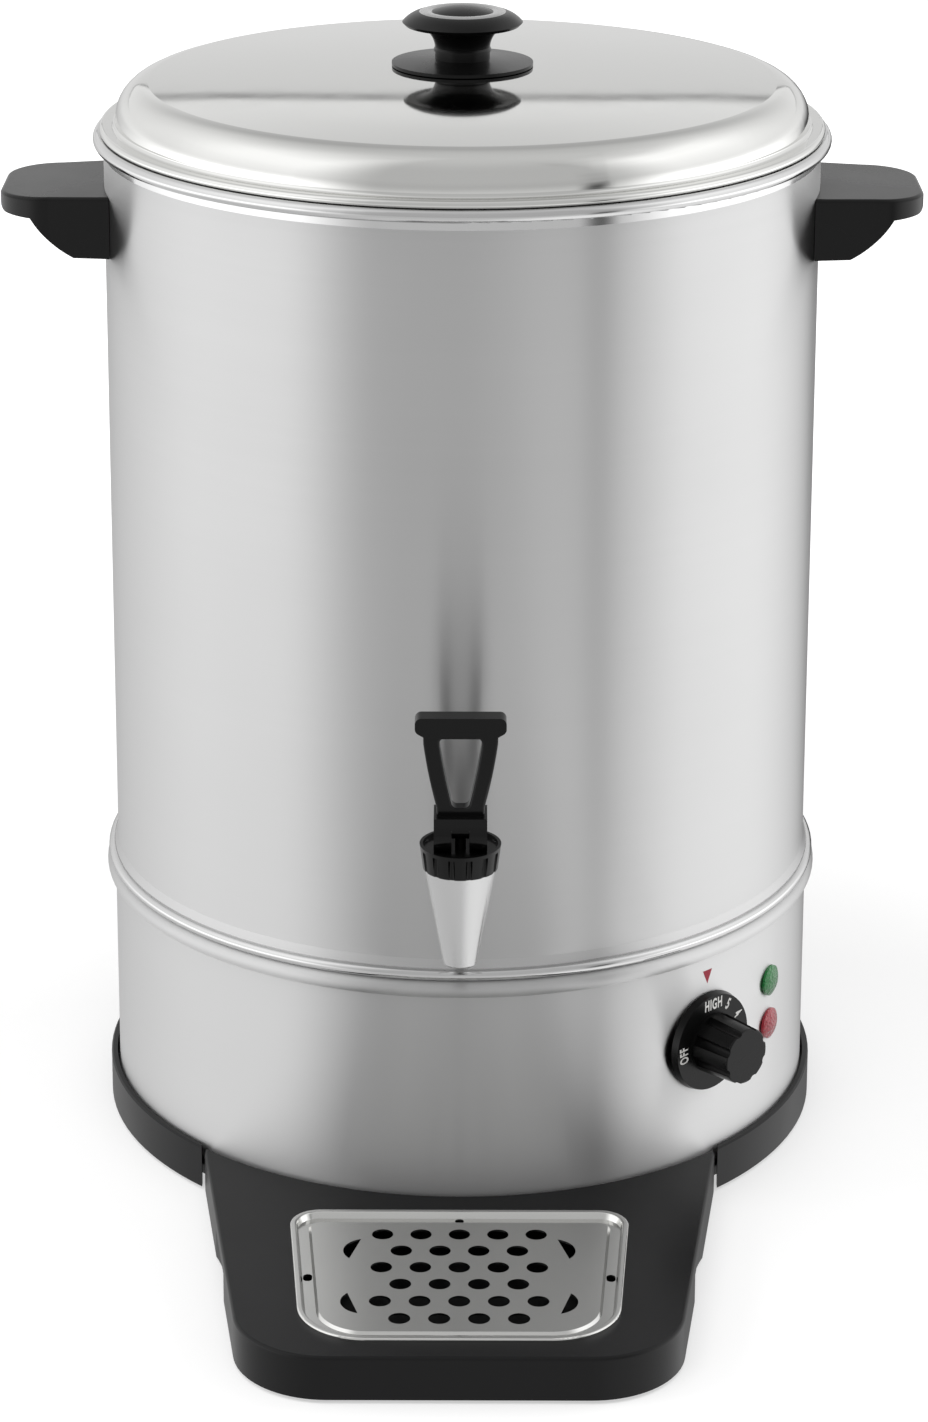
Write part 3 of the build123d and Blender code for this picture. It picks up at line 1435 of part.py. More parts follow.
with BuildPart() as drip_platform:
    with BuildSketch(Plane.XY.offset(platform_bottom)):
        add(platform_outline(0))
        Circle(platform_back_radius, mode=Mode.SUBTRACT)
    extrude(amount=platform_height)
    fillet(drip_platform.faces().sort_by(Axis.Z)[-1].edges(), platform_edge)
    with BuildSketch(Plane.XY.offset(platform_bottom)):
        add(platform_outline(-platform_wall))
        Circle(platform_back_radius + platform_wall, mode=Mode.SUBTRACT)
    extrude(amount=platform_height - platform_top, mode=Mode.SUBTRACT)
    with BuildSketch(Plane.XY.offset(well_floor - well_wall)):
        add(grille_outline(opening_grow + well_wall))
    extrude(amount=platform_top_height - platform_edge - well_floor + well_wall)
    with BuildSketch(Plane.XY.offset(well_floor)):
        add(grille_outline(opening_grow))
    extrude(amount=platform_top_height - well_floor, mode=Mode.SUBTRACT)
    with BuildSketch(Plane.XY.offset(pad_height)):
        with Locations(*pad_spots):
            Circle(pad_boss_radius)
    extrude(amount=platform_top_height - platform_top - pad_height)
    for side in (1, -1):
        # a shallow scoop in each side for a fingertip, and a tongue that hooks into the base ring
        with BuildSketch(Plane.XY.offset(platform_bottom)) as side_scoop:
            scoop_radius = (scoop_width**2 / 4 + scoop_depth**2) / (2 * scoop_depth)
            side_x = platform_back_half - side_slope * (platform_back_y - scoop_y)
            with Locations((side * (side_x + scoop_radius - scoop_depth), scoop_y)):
                Circle(scoop_radius)
        extrude(amount=scoop_top - platform_bottom, mode=Mode.SUBTRACT)
        with BuildSketch(Plane.XY.offset(tongue_bottom)) as tongue:
            with Locations((side * tongue_x, -platform_back_radius + platform_wall)):
                Rectangle(tongue_width, tongue_length + platform_wall, align=(Align.CENTER, Align.MIN))
            Circle(rib_inner_radius + tongue_slot_gap, mode=Mode.SUBTRACT)
        extrude(amount=tongue_thickness)
save(drip_platform.part, "drip_platform")

with BuildPart() as platform_pads:
    with BuildSketch(Plane.XY) as pad_circles:
        with Locations(*pad_spots):
            Circle(pad_radius)
    extrude(amount=pad_height)
save(platform_pads.part, "platform_pads")

grille_middle = (grille_back_y + grille_front_y) / 2
grille_side_x = (grille_back_half + grille_front_half) / 2
first_row_y = grille_middle - (row_count - 1) * row_pitch / 2
panel_grow = gutter_grow - gutter_width
panel_inner_grow = panel_grow - grille_sheet * tan(radians(45 - panel_edge_lean / 2))
drain_inset = gutter_width / 2 - gutter_grow

with BuildPart() as drip_grille:
    # the raised lip, a pressed channel that stands on the platform
    with BuildSketch(Plane.XY.offset(platform_top_height)):
        add(grille_outline(0))
    extrude(amount=grille_lip_height)
    with BuildSketch(Plane.XY.offset(platform_top_height)):
        add(grille_outline(-grille_sheet))
    extrude(amount=grille_lip_height - grille_sheet, mode=Mode.SUBTRACT)
    # the gutter inside it, which the lip drops into
    with BuildSketch(Plane.XY.offset(gutter_bottom)):
        add(grille_outline(gutter_outer_grow))
    extrude(amount=gutter_depth, taper=-gutter_wall_lean)
    with BuildSketch(Plane.XY.offset(gutter_height)):
        add(grille_outline(gutter_grow))
    extrude(amount=gutter_depth, taper=-gutter_wall_lean, mode=Mode.SUBTRACT)
    fillet(drip_grille.faces().sort_by(Axis.Z)[-1].edges(), grille_lip_round)
    # the panel, pressed up again inside the gutter
    with BuildSketch(Plane.XY.offset(gutter_height)):
        add(grille_outline(panel_grow))
    extrude(amount=panel_rise, taper=panel_edge_lean)
    with BuildSketch(Plane.XY.offset(gutter_bottom)):
        add(grille_outline(panel_inner_grow))
    extrude(amount=panel_rise, taper=panel_edge_lean, mode=Mode.SUBTRACT)
    with BuildSketch(Plane.XY.offset(gutter_bottom)) as panel_holes:
        # staggered rows of round holes, alternately four and five to a row
        for row in range(row_count):
            with Locations((0, first_row_y + row * row_pitch)):
                with GridLocations(hole_pitch, 1, short_row_holes + row % 2, 1):
                    Circle(hole_radius)
        # a hole with one bulging side in each corner of the panel
        for side in (1, -1):
            for end_y, inward in ((grille_front_y, 1), (grille_back_y, -1)):
                corner_points = [
                    (side * x, end_y + inward * inset)
                    for x, inset in (corner_hole_far, corner_hole_bulge, corner_hole_near)
                ]
                with BuildLine():
                    ThreePointArc(*corner_points)
                    Line(corner_points[-1], corner_points[0])
                make_face()
        # a drain hole in the gutter at the middle of each side
        with Locations(*[(side * (grille_side_x - drain_inset), grille_middle) for side in (1, -1)]):
            SlotOverall(drain_hole_length, drain_hole_width, rotation=90)
        with Locations((0, grille_front_y + drain_inset), (0, grille_back_y - drain_inset)):
            Circle(drain_hole_width / 2)
    extrude(amount=gutter_depth, mode=Mode.SUBTRACT)
save(drip_grille.part, "drip_grille")
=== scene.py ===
# %% [markdown]
# # A catering urn for hot drinks
# The solids come from the imported CAD model: a stainless tank with a rolled rim, a pressed lid, a skirt
# with two beads, a conical tap, and black moulded handles, base ring and drip platform.
# Blender adds what a solid can't say: how each surface was finished, the print on the dial and on the
# skirt, and the light of a product studio, which is most of what polished metal looks like.
# Everything is in metres. +Z is up, the tap faces -Y, and the bench is at height 0.

# %% Load the frame and bake each part's placement into its mesh
from math import asin, cos, radians, sin

import bmesh
import bpy
from mathutils import Matrix, Vector


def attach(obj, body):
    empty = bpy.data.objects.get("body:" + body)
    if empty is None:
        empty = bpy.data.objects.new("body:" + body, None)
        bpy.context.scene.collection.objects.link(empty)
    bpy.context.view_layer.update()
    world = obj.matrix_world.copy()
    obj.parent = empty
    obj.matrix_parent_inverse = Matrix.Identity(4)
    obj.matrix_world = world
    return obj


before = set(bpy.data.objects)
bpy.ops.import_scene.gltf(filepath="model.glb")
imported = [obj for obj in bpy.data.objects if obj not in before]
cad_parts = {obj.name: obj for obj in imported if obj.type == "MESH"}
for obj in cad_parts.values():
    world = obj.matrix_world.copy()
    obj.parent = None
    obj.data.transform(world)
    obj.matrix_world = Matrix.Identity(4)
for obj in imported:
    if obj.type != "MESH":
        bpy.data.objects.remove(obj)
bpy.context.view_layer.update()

# %% [markdown]
# ## The camera
# Tall product pictures are often taken from a little above with a long lens, and the sensor is shifted
# so that upright edges stay upright. A shift keeps the view's direction and slides the frame over the
# picture, which a tilt can't do. The focal length is worked out from the picture's height, because the
# picture is taller than it is wide. Angles are in degrees, and the sensor is 36 mm high.

# %% Camera
IMAGE_WIDTH, IMAGE_HEIGHT = 928, 1422
SENSOR = 36.0
FOCAL_PIXELS = 4111
CAMERA_HEIGHT = 0.935
CAMERA_DISTANCE = 1.961
TILT_DOWN = 16.12
ROLL = 0.151
SHIFT_X, SHIFT_Y = 0.001688, -0.21997

camera_data = bpy.data.cameras.new("camera")
camera_data.sensor_fit = "VERTICAL"
camera_data.sensor_height = SENSOR
camera_data.lens = FOCAL_PIXELS / IMAGE_HEIGHT * SENSOR
camera_data.shift_x = SHIFT_X
camera_data.shift_y = SHIFT_Y
camera = bpy.data.objects.new("camera", camera_data)
camera.location = (0, -CAMERA_DISTANCE, CAMERA_HEIGHT)
camera.rotation_euler = (radians(90 - TILT_DOWN), 0, 0)
camera.rotation_euler.rotate_axis("Z", radians(ROLL))
bpy.context.collection.objects.link(camera)
bpy.context.scene.camera = camera
print("focal length:", round(camera_data.lens, 1), "mm")

# %% [markdown]
# ## Two helpers for materials
# Colours are written as sRGB hex, the way paint and print colours are usually given, and Blender wants
# linear light, so one function turns one into the other. A material is a small tree of nodes. One
# function adds any node with its settings and its links, which keeps each material short.

# %% Colour and node helpers
def linear(code):
    """A hex sRGB colour, such as "#c8c8c6", as linear RGBA."""
    channels = [int(code[i:i + 2], 16) / 255 for i in (1, 3, 5)]
    return [c / 12.92 if c <= 0.04045 else ((c + 0.055) / 1.055) ** 2.4 for c in channels] + [1.0]


def add_node(tree, kind, settings=None, links=None):
    """Adds a node. A setting is an option of the node or the value of an input, a link feeds an input."""
    node = tree.nodes.new(kind)
    for name, value in (settings or {}).items():
        if isinstance(name, str) and hasattr(node, name):
            setattr(node, name, value)
        else:
            node.inputs[name].default_value = value
    for name, output in (links or {}).items():
        tree.links.new(output, node.inputs[name])
    return node


def start_material(name, settings):
    """A new material with its Principled shader set. Gives the material, its tree and the shader."""
    made = bpy.data.materials.new(name)
    made.use_nodes = True
    shader = made.node_tree.nodes["Principled BSDF"]
    for socket, value in settings.items():
        shader.inputs[socket].default_value = value
    return made, made.node_tree, shader


def put_on(made, *nodes):
    """Gives a material to whole CAD nodes."""
    for name in nodes:
        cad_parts[name].data.materials.clear()
        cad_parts[name].data.materials.append(made)


print("steel colour in linear light:", [round(value, 3) for value in linear("#cbcbcb")[:3]])

# %% [markdown]
# ## Satin stainless steel
# The tank and the skirt are rolled from stainless sheet with a satin finish: a belt of fine grit has run
# round the wall and left hairlines that the eye can't part, but that stretch each reflection upwards.
# A metal has no colour of its own beyond its reflection, so roughness does the work: about 0.4, drawn
# out in one direction by the anisotropy, turns bright cloth and dark cards into soft upright bands. The
# hairlines are noise squeezed along Z, drawn as coarse as a picture of this size can show, and a slow
# cloud of noise keeps the gloss from being the same everywhere. The rolled rim and the beads are
# burnished by the rollers, so they are smoother than the wall.

# %% Satin stainless steel
HAIRLINE = 0.0009
HAIRLINE_RUN = 0.25
HAIRLINE_DEPTH = 0.0001
CLOUDS_PER_METRE = 9.0
WALL_ROUGHNESS = 0.38
ROUGHNESS_SWING = 0.015
ROLLED_ROUGHNESS = 0.10


def satin_stainless(name, rolled_from):
    """Satin sheet whose rolled part, from one height upwards, is burnished."""
    made, tree, shader = start_material(name, {
        "Base Color": linear("#cbcbcb"), "Metallic": 1.0, "Anisotropic": 1.0,
        "Anisotropic Rotation": 0.25})
    place = add_node(tree, "ShaderNodeTexCoord").outputs["Object"]
    squeeze = (1 / HAIRLINE_RUN, 1 / HAIRLINE_RUN, 1 / HAIRLINE)
    squeezed = add_node(tree, "ShaderNodeVectorMath", {"operation": "MULTIPLY", 1: squeeze},
                        {0: place}).outputs[0]
    hairs = add_node(tree, "ShaderNodeTexNoise", {"Scale": 1.0, "Detail": 3.0}, {"Vector": squeezed})
    clouds = add_node(tree, "ShaderNodeTexNoise", {"Scale": CLOUDS_PER_METRE, "Detail": 2.0},
                      {"Vector": place})
    both = add_node(tree, "ShaderNodeMath", {"operation": "ADD"},
                    {0: hairs.outputs["Fac"], 1: clouds.outputs["Fac"]}).outputs[0]
    wall = add_node(tree, "ShaderNodeMapRange", {
        "From Min": 0.6, "From Max": 1.4,
        "To Min": WALL_ROUGHNESS - ROUGHNESS_SWING, "To Max": WALL_ROUGHNESS + ROUGHNESS_SWING},
        {"Value": both}).outputs[0]
    height = add_node(tree, "ShaderNodeSeparateXYZ", {}, {0: place}).outputs["Z"]
    rolled = add_node(tree, "ShaderNodeMath", {"operation": "GREATER_THAN", 1: rolled_from},
                      {0: height}).outputs[0]
    roughness = add_node(tree, "ShaderNodeMix", {"data_type": "FLOAT", 3: ROLLED_ROUGHNESS},
                         {0: rolled, 2: wall}).outputs[0]
    tree.links.new(roughness, shader.inputs["Roughness"])
    bump = add_node(tree, "ShaderNodeBump", {"Strength": 0.02, "Distance": HAIRLINE_DEPTH},
                    {"Height": hairs.outputs["Fac"]}).outputs[0]
    tree.links.new(bump, shader.inputs["Normal"])
    tangent = add_node(tree, "ShaderNodeTangent", {"direction_type": "RADIAL", "axis": "Z"}).outputs[0]
    tree.links.new(tangent, shader.inputs["Tangent"])
    return made


RIM_FOOT = 0.4965
BEADS_FOOT = 0.1335
tank_steel = satin_stainless("satin_stainless_tank", RIM_FOOT)
skirt_steel = satin_stainless("satin_stainless_skirt", BEADS_FOOT)
put_on(tank_steel, "tank_wall", "tank_floor", "lid_guide_ring")
put_on(skirt_steel, "skirt_casing")

# %% [markdown]
# ## Polished stainless steel
# The lid and the drip grille are pressed and then buffed on a wheel. They reflect almost like a mirror,
# yet pressing leaves the sheet a little uneven, so reflected edges bend softly. A broad, very shallow
# bump gives that, and a fine noise in the roughness gives the haze that buffing leaves.

# %% Polished stainless steel
HAZE_PER_METRE = 60.0
PRESSING_WAVE = 0.0001


def polished_stainless(name, roughness, wave_length, wave_height):
    """Buffed sheet with a soft waviness, both sizes in metres."""
    made, tree, shader = start_material(name, {"Base Color": linear("#d8d8d6"), "Metallic": 1.0})
    place = add_node(tree, "ShaderNodeTexCoord").outputs["Object"]
    haze = add_node(tree, "ShaderNodeTexNoise", {"Scale": HAZE_PER_METRE, "Detail": 4.0},
                    {"Vector": place})
    rough = add_node(tree, "ShaderNodeMapRange", {
        "From Min": 0.3, "From Max": 0.7, "To Min": roughness * 0.8, "To Max": roughness * 1.2},
        {"Value": haze.outputs["Fac"]}).outputs[0]
    tree.links.new(rough, shader.inputs["Roughness"])
    waves = add_node(tree, "ShaderNodeTexNoise", {"Scale": 1 / wave_length, "Detail": 0.0},
                     {"Vector": place})
    bump = add_node(tree, "ShaderNodeBump", {"Strength": 1.0, "Distance": wave_height},
                    {"Height": waves.outputs["Fac"]}).outputs[0]
    tree.links.new(bump, shader.inputs["Normal"])
    return made


lid_steel = polished_stainless("polished_stainless_lid", 0.06, 0.12, PRESSING_WAVE)
grille_steel = polished_stainless("polished_stainless_grille", 0.16, 0.05, PRESSING_WAVE)
put_on(lid_steel, "lid_shell")
put_on(grille_steel, "drip_grille")

# %% [markdown]
# ## Satin plated zinc
# The tap's body is die-cast zinc, blasted with fine grit and plated, so it looks softer and whiter than
# the tank. The knob's ring has the same finish. Grit of about 0.2 mm leaves the grain, which is drawn
# as a fine bump.

# %% Satin plated zinc
GRIT = 0.0002
plated_zinc, tree, shader = start_material("satin_plated_zinc", {
    "Base Color": linear("#c8c8c8"), "Metallic": 1.0, "Roughness": 0.26})
place = add_node(tree, "ShaderNodeTexCoord").outputs["Object"]
grain = add_node(tree, "ShaderNodeTexNoise", {"Scale": 1 / GRIT, "Detail": 2.0}, {"Vector": place})
bump = add_node(tree, "ShaderNodeBump", {"Strength": 0.12, "Distance": GRIT / 4},
                {"Height": grain.outputs["Fac"]}).outputs[0]
tree.links.new(bump, shader.inputs["Normal"])
put_on(plated_zinc, "tap_body", "knob_ring")

# %% [markdown]
# ## Black mouldings
# Handles, dial, knob and tap lever are phenolic, a hard resin that is pressed in a heated mould. The
# base ring and the drip platform are ABS or nylon from an injection mould. Both come out satin, from
# a mould that was lightly blasted: a fine grain that softens the highlight, and a slow change of gloss
# over a large face. Black isn't zero: a moulding gives back a little light, so the colour stays above it.

# %% Black mouldings
GLOSS_PATCHES_PER_METRE = 14.0
GLOSS_SWING = 0.04


def moulding(name, colour, roughness, grain_size, grain_height):
    """A moulded plastic with a grain and a slow change of gloss, sizes in metres."""
    made, tree, shader = start_material(name, {
        "Base Color": linear(colour), "Specular IOR Level": 0.22})
    place = add_node(tree, "ShaderNodeTexCoord").outputs["Object"]
    slow = add_node(tree, "ShaderNodeTexNoise", {"Scale": GLOSS_PATCHES_PER_METRE, "Detail": 3.0},
                    {"Vector": place})
    rough = add_node(tree, "ShaderNodeMapRange", {
        "From Min": 0.3, "From Max": 0.7,
        "To Min": roughness - GLOSS_SWING, "To Max": roughness + GLOSS_SWING},
        {"Value": slow.outputs["Fac"]}).outputs[0]
    tree.links.new(rough, shader.inputs["Roughness"])
    grain = add_node(tree, "ShaderNodeTexNoise", {"Scale": 1 / grain_size, "Detail": 2.0},
                     {"Vector": place})
    bump = add_node(tree, "ShaderNodeBump", {"Strength": 0.25, "Distance": grain_height},
                    {"Height": grain.outputs["Fac"]}).outputs[0]
    tree.links.new(bump, shader.inputs["Normal"])
    return made


phenolic = moulding("black_phenolic", "#0a0a0a", 0.27, 0.0006, 0.00004)
base_plastic = moulding("black_abs", "#0d0d0e", 0.36, 0.0009, 0.00006)
lever_plastic = moulding("black_nylon", "#080808", 0.20, 0.0006, 0.00002)
put_on(phenolic, "handle_left", "handle_right", "dial_knob", "knob_disc", "knob_grip", "knob_insert")
put_on(base_plastic, "base_ring", "drip_platform")
put_on(lever_plastic, "tap_lever", "tap_bonnet", "tap_stem", "cord_gland", "cord_gland_nut")

# %% [markdown]
# ## Pilot lamp lenses
# Each lens is clear coloured acrylic with small prisms moulded inside, which scatter the lamp's light.
# Unlit, it looks deep at the rim and light where the light runs out through the front. Transmission
# alone would show the dark inside of the lamp, so about a third of the light goes through and the rest
# comes back from the coloured body. The prisms are cells of about 1.5 mm.

# %% Pilot lamp lenses
PRISM = 0.0015


def lens(name, colour):
    """Clear coloured acrylic with prisms moulded inside."""
    made, tree, shader = start_material(name, {
        "Base Color": linear(colour), "Roughness": 0.12, "IOR": 1.49,
        "Transmission Weight": 0.35, "Coat Weight": 0.25, "Coat Roughness": 0.05})
    place = add_node(tree, "ShaderNodeTexCoord").outputs["Object"]
    cells = add_node(tree, "ShaderNodeTexVoronoi", {"Scale": 1 / PRISM}, {"Vector": place})
    bump = add_node(tree, "ShaderNodeBump", {"Strength": 0.9, "Distance": PRISM / 3},
                    {"Height": cells.outputs["Distance"]}).outputs[0]
    tree.links.new(bump, shader.inputs["Normal"])
    return made


put_on(lens("green_acrylic", "#188c3e"), "lamp_lens_green")
put_on(lens("red_acrylic", "#bc3040"), "lamp_lens_red")

# %% [markdown]
# ## Parts out of sight
# Underneath and inside there are fasteners, seals, the heater and the controls. They are seen when the
# lid is off or the urn is turned over, so each gets the finish that it really has.

# %% Plated steel, cast aluminium, brass and copper
METAL_SWING = 0.08


def bare_metal(name, colour, roughness, mottle):
    """A plain metal whose gloss changes over spots of one size, in metres."""
    made, tree, shader = start_material(name, {"Base Color": linear(colour), "Metallic": 1.0})
    place = add_node(tree, "ShaderNodeTexCoord").outputs["Object"]
    spots = add_node(tree, "ShaderNodeTexNoise", {"Scale": 1 / mottle, "Detail": 3.0}, {"Vector": place})
    rough = add_node(tree, "ShaderNodeMapRange", {
        "From Min": 0.3, "From Max": 0.7,
        "To Min": roughness - METAL_SWING, "To Max": roughness + METAL_SWING},
        {"Value": spots.outputs["Fac"]}).outputs[0]
    tree.links.new(rough, shader.inputs["Roughness"])
    return made


put_on(bare_metal("zinc_plated_steel", "#c2c2bc", 0.32, 0.004), "tie_rods", "tie_rod_nuts", "base_screws",
       "handle_screws", "element_clamp", "element_nut", "thermostat_spindle", "lamp_clips", "tap_nut",
       "knob_screw")
put_on(bare_metal("galvanised_sheet", "#b4b8ba", 0.42, 0.012), "base_plate")
put_on(bare_metal("cast_aluminium", "#bcbdbf", 0.48, 0.003), "heat_spreader")
put_on(bare_metal("heat_dulled_sheath", "#6d675f", 0.45, 0.006), "heating_element")
put_on(bare_metal("turned_brass", "#d8b867", 0.25, 0.003), "thermostat_nut")
put_on(bare_metal("drawn_copper", "#c98a63", 0.28, 0.004), "thermostat_probe")
put_on(bare_metal("drawn_steel_wire", "#a9a9a6", 0.18, 0.002), "tap_spring", "tap_lever_pin")
print("materials so far:", len(bpy.data.materials))

# %% Rubber, silicone and the controls' plastics
put_on(moulding("black_rubber", "#1c1c1d", 0.72, 0.0008, 0.0001), "feet", "platform_pads")
put_on(moulding("milky_silicone", "#d9d5cc", 0.48, 0.001, 0.00005), "handle_seals", "tap_outer_seal",
       "tap_inner_seal", "tap_seat_cup")
put_on(moulding("brown_phenolic", "#33261f", 0.40, 0.0008, 0.00008), "thermostat_body",
       "boil_dry_cutout")
put_on(moulding("off_white_nylon", "#ddd9cb", 0.45, 0.0008, 0.00006), "terminal_block", "lamp_bodies")
put_on(moulding("red_abs", "#a8281f", 0.35, 0.0006, 0.00004), "reset_button")
print("materials:", sorted(made.name for made in bpy.data.materials))

# %% [markdown]
# ## The print on the dial
# A pad printer puts white ink on the dial's flat face: HIGH, then 5 down to 1, and OFF. The letters run
# round the face with their feet towards the middle, squeezed to narrow capitals. A text object keeps the
# outline of each letter, and a few hundredths of a millimetre are enough to stay off the face. The
# words ride on the dial, so they turn with it.

# %% Ink materials
def ink(name, colour):
    """A thin layer of pad-printing ink with a slightly uneven gloss."""
    return moulding(name, colour, 0.45, 0.0005, 0.00001)


white_ink = ink("white_ink", "#f4f3f0")
red_ink = ink("red_ink", "#a83a4a")

# %% Dial print
DIAL_AZIMUTH = radians(42.8)
DIAL_HEIGHT = 0.082
DIAL_FACE = 0.1805
PRINT_RADIUS = 0.0196
LETTER_HEIGHT = 0.0054
FONT_SIZE = 1.4 * LETTER_HEIGHT
LETTER_SQUEEZE = 0.60
LETTER_SPACING = 1.15
STROKE_GAIN = 0.00022
INK_THICKNESS = 0.00003

outward = Vector((sin(DIAL_AZIMUTH), -cos(DIAL_AZIMUTH), 0))
sideways = Vector((cos(DIAL_AZIMUTH), sin(DIAL_AZIMUTH), 0))
upwards = Vector((0, 0, 1))
face_centre = outward * (DIAL_FACE + INK_THICKNESS) + upwards * DIAL_HEIGHT


def print_word(word, clockwise):
    """Prints a word on the dial's face, its middle at an angle clockwise from the top."""
    text = bpy.data.curves.new("print_" + word, "FONT")
    text.body = word
    text.size = FONT_SIZE
    text.space_character = LETTER_SPACING
    text.align_x = "CENTER"
    text.align_y = "CENTER"
    text.offset = STROKE_GAIN
    text.extrude = INK_THICKNESS
    made = bpy.data.objects.new("print_" + word, text)
    bpy.context.collection.objects.link(made)
    up = upwards * cos(clockwise) + sideways * sin(clockwise)
    across = sideways * cos(clockwise) - upwards * sin(clockwise)
    turned = Matrix((across * LETTER_SQUEEZE, up, outward)).transposed()
    made.matrix_world = Matrix.Translation(face_centre + up * PRINT_RADIUS) @ turned.to_4x4()
    text.materials.append(white_ink)
    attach(made, "dial")


scale_words = {"HIGH": 0, "5": 31, "4": 60, "3": 92, "2": 123, "1": 154, "OFF": 266}
for word, turn in scale_words.items():
    print_word(word, radians(turn))
print("printed words:", list(scale_words))

# %% [markdown]
# ## The red mark above the dial
# A small triangle of red ink on the skirt shows where to read the dial. It lies on a curved wall, so it
# is a strip of narrow faces that follows the wall's radius, a few hundredths of a millimetre off it.

# %% Red mark
SKIRT_RADIUS = 0.1760
MARK_TOP, MARK_TIP = 0.1183, 0.1112
MARK_WIDTH = 0.0062
MARK_EDGE = 0.00001
MARK_STEPS = 8

mark_mesh = bmesh.new()
mark_radius = SKIRT_RADIUS + INK_THICKNESS
rows = []
for step in range(MARK_STEPS + 1):
    share = step / MARK_STEPS - 0.5
    angle = DIAL_AZIMUTH + asin(share * MARK_WIDTH / SKIRT_RADIUS)
    low = min(MARK_TOP - (MARK_TOP - MARK_TIP) * (1 - 2 * abs(share)), MARK_TOP - MARK_EDGE)
    across, forward = mark_radius * sin(angle), -mark_radius * cos(angle)
    top = mark_mesh.verts.new((across, forward, MARK_TOP))
    bottom = mark_mesh.verts.new((across, forward, low))
    rows.append((top, bottom))
for (top_a, low_a), (top_b, low_b) in zip(rows, rows[1:]):
    mark_mesh.faces.new((top_a, low_a, low_b, top_b))
mark_data = bpy.data.meshes.new("dial_mark")
mark_mesh.to_mesh(mark_data)
mark_mesh.free()
dial_mark = bpy.data.objects.new("dial_mark", mark_data)
bpy.context.collection.objects.link(dial_mark)
mark_data.materials.append(red_ink)
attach(dial_mark, "base")
print("red mark faces:", len(mark_data.polygons))

# %% [markdown]
# ## Smooth shading
# The CAD meshes come in facets. Shading by angle keeps real edges crisp and lets round walls look
# round, and it changes no vertex.

# %% Smooth shading
CREASE = radians(32)
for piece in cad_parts.values():
    piece.data.shade_smooth()
    piece.data.set_sharp_from_angle(angle=CREASE)
print("smoothed:", len(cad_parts))

# %% [markdown]
# ## The world
# The ground behind such a vessel is white, but a white sky all round would wash its colours out. Light
# Path tells why a ray asks for the background's colour: the world is white where the camera looks at it,
# also through a lens, and dimmer where it only gives light.

# %% World
FILL = 0.55


def seen_ray(tree):
    """1 for a ray from the camera, a reflection or a clear body, and 0 for a ray that gathers light."""
    rays = add_node(tree, "ShaderNodeLightPath").outputs
    seen = add_node(tree, "ShaderNodeMath", {"operation": "MAXIMUM"},
                    {0: rays["Is Camera Ray"], 1: rays["Is Glossy Ray"]}).outputs[0]
    return add_node(tree, "ShaderNodeMath", {"operation": "MAXIMUM"},
                    {0: seen, 1: rays["Is Transmission Ray"]}).outputs[0]


world = bpy.data.worlds.new("studio")
bpy.context.scene.world = world
world.use_nodes = True
tree = world.node_tree
strength = add_node(tree, "ShaderNodeMix", {"data_type": "FLOAT", 2: FILL, 3: 1.0},
                    {0: seen_ray(tree)}).outputs[0]
tree.nodes["Background"].inputs["Color"].default_value = (1, 1, 1, 1)
tree.links.new(strength, tree.nodes["Background"].inputs["Strength"])
print("world as a light:", FILL)

# %% [markdown]
# ## The lamps
# Three large soft boxes, one at each side and one above, light the plastics, the print and the floor.
# The metal doesn't mirror them: what it shows is the tent below, so that its bands can be laid out
# without changing the light on everything else.

# %% Lamps
AIM_HEIGHT = 0.3


def soft_box(name, azimuth, distance, height, side, power):
    """A square lamp that faces the urn. The azimuth is in degrees from the front towards +X."""
    data = bpy.data.lights.new(name, "AREA")
    data.shape = "SQUARE"
    data.size = side
    data.energy = power
    lamp = bpy.data.objects.new(name, data)
    turn = radians(azimuth)
    place = Vector((sin(turn) * distance, -cos(turn) * distance, height))
    lamp.location = place
    lamp.rotation_euler = (Vector((0, 0, AIM_HEIGHT)) - place).to_track_quat("-Z", "Y").to_euler()
    lamp.visible_camera = False
    lamp.visible_glossy = False
    bpy.context.collection.objects.link(lamp)


soft_box("left_box", azimuth=-84, distance=2.4, height=1.3, side=1.6, power=26)
soft_box("right_box", azimuth=103, distance=2.4, height=1.3, side=1.6, power=26)
soft_box("top_box", azimuth=-20, distance=1.2, height=2.4, side=2.0, power=26)
print("lamps:", sorted(lamp.name for lamp in bpy.data.lights))

# %% [markdown]
# ## The tent
# Polished metal shows the room, so the room is half of the picture. Such a vessel is lit in a tent: a
# wall and a sky of cloth and card, bright at both sides, dimmer in front and dark behind, so that the
# steel gets two pale bands, a grey middle and dark edges against a white ground. The tent here is one
# round mesh that only reflections see, with a grey at each corner that it gives off as light. Panels of
# other greys are laid over the front's grey, each between two azimuths and with soft edges.

# %% Tent panels
# azimuths in degrees from the front towards +X: a panel is whole from the first to the second, and
# fades over the third before them and over the fourth after them
REAR_SKY = (130, 230, 30, 30)
BACK_WALL = (170, 190, 30, 30)
LEFT_PANEL = (-84, -58, 76, 33)
RIGHT_PANEL = (76, 102, 34, 52)
LOW_CARD = (38, 64, 40, 30)
FLAG = (42, 43, 7, 7)
REAR_FLAG = (156, 172, 18, 8)
PANELS = (REAR_SKY, BACK_WALL, LEFT_PANEL, RIGHT_PANEL, LOW_CARD, FLAG, REAR_FLAG)
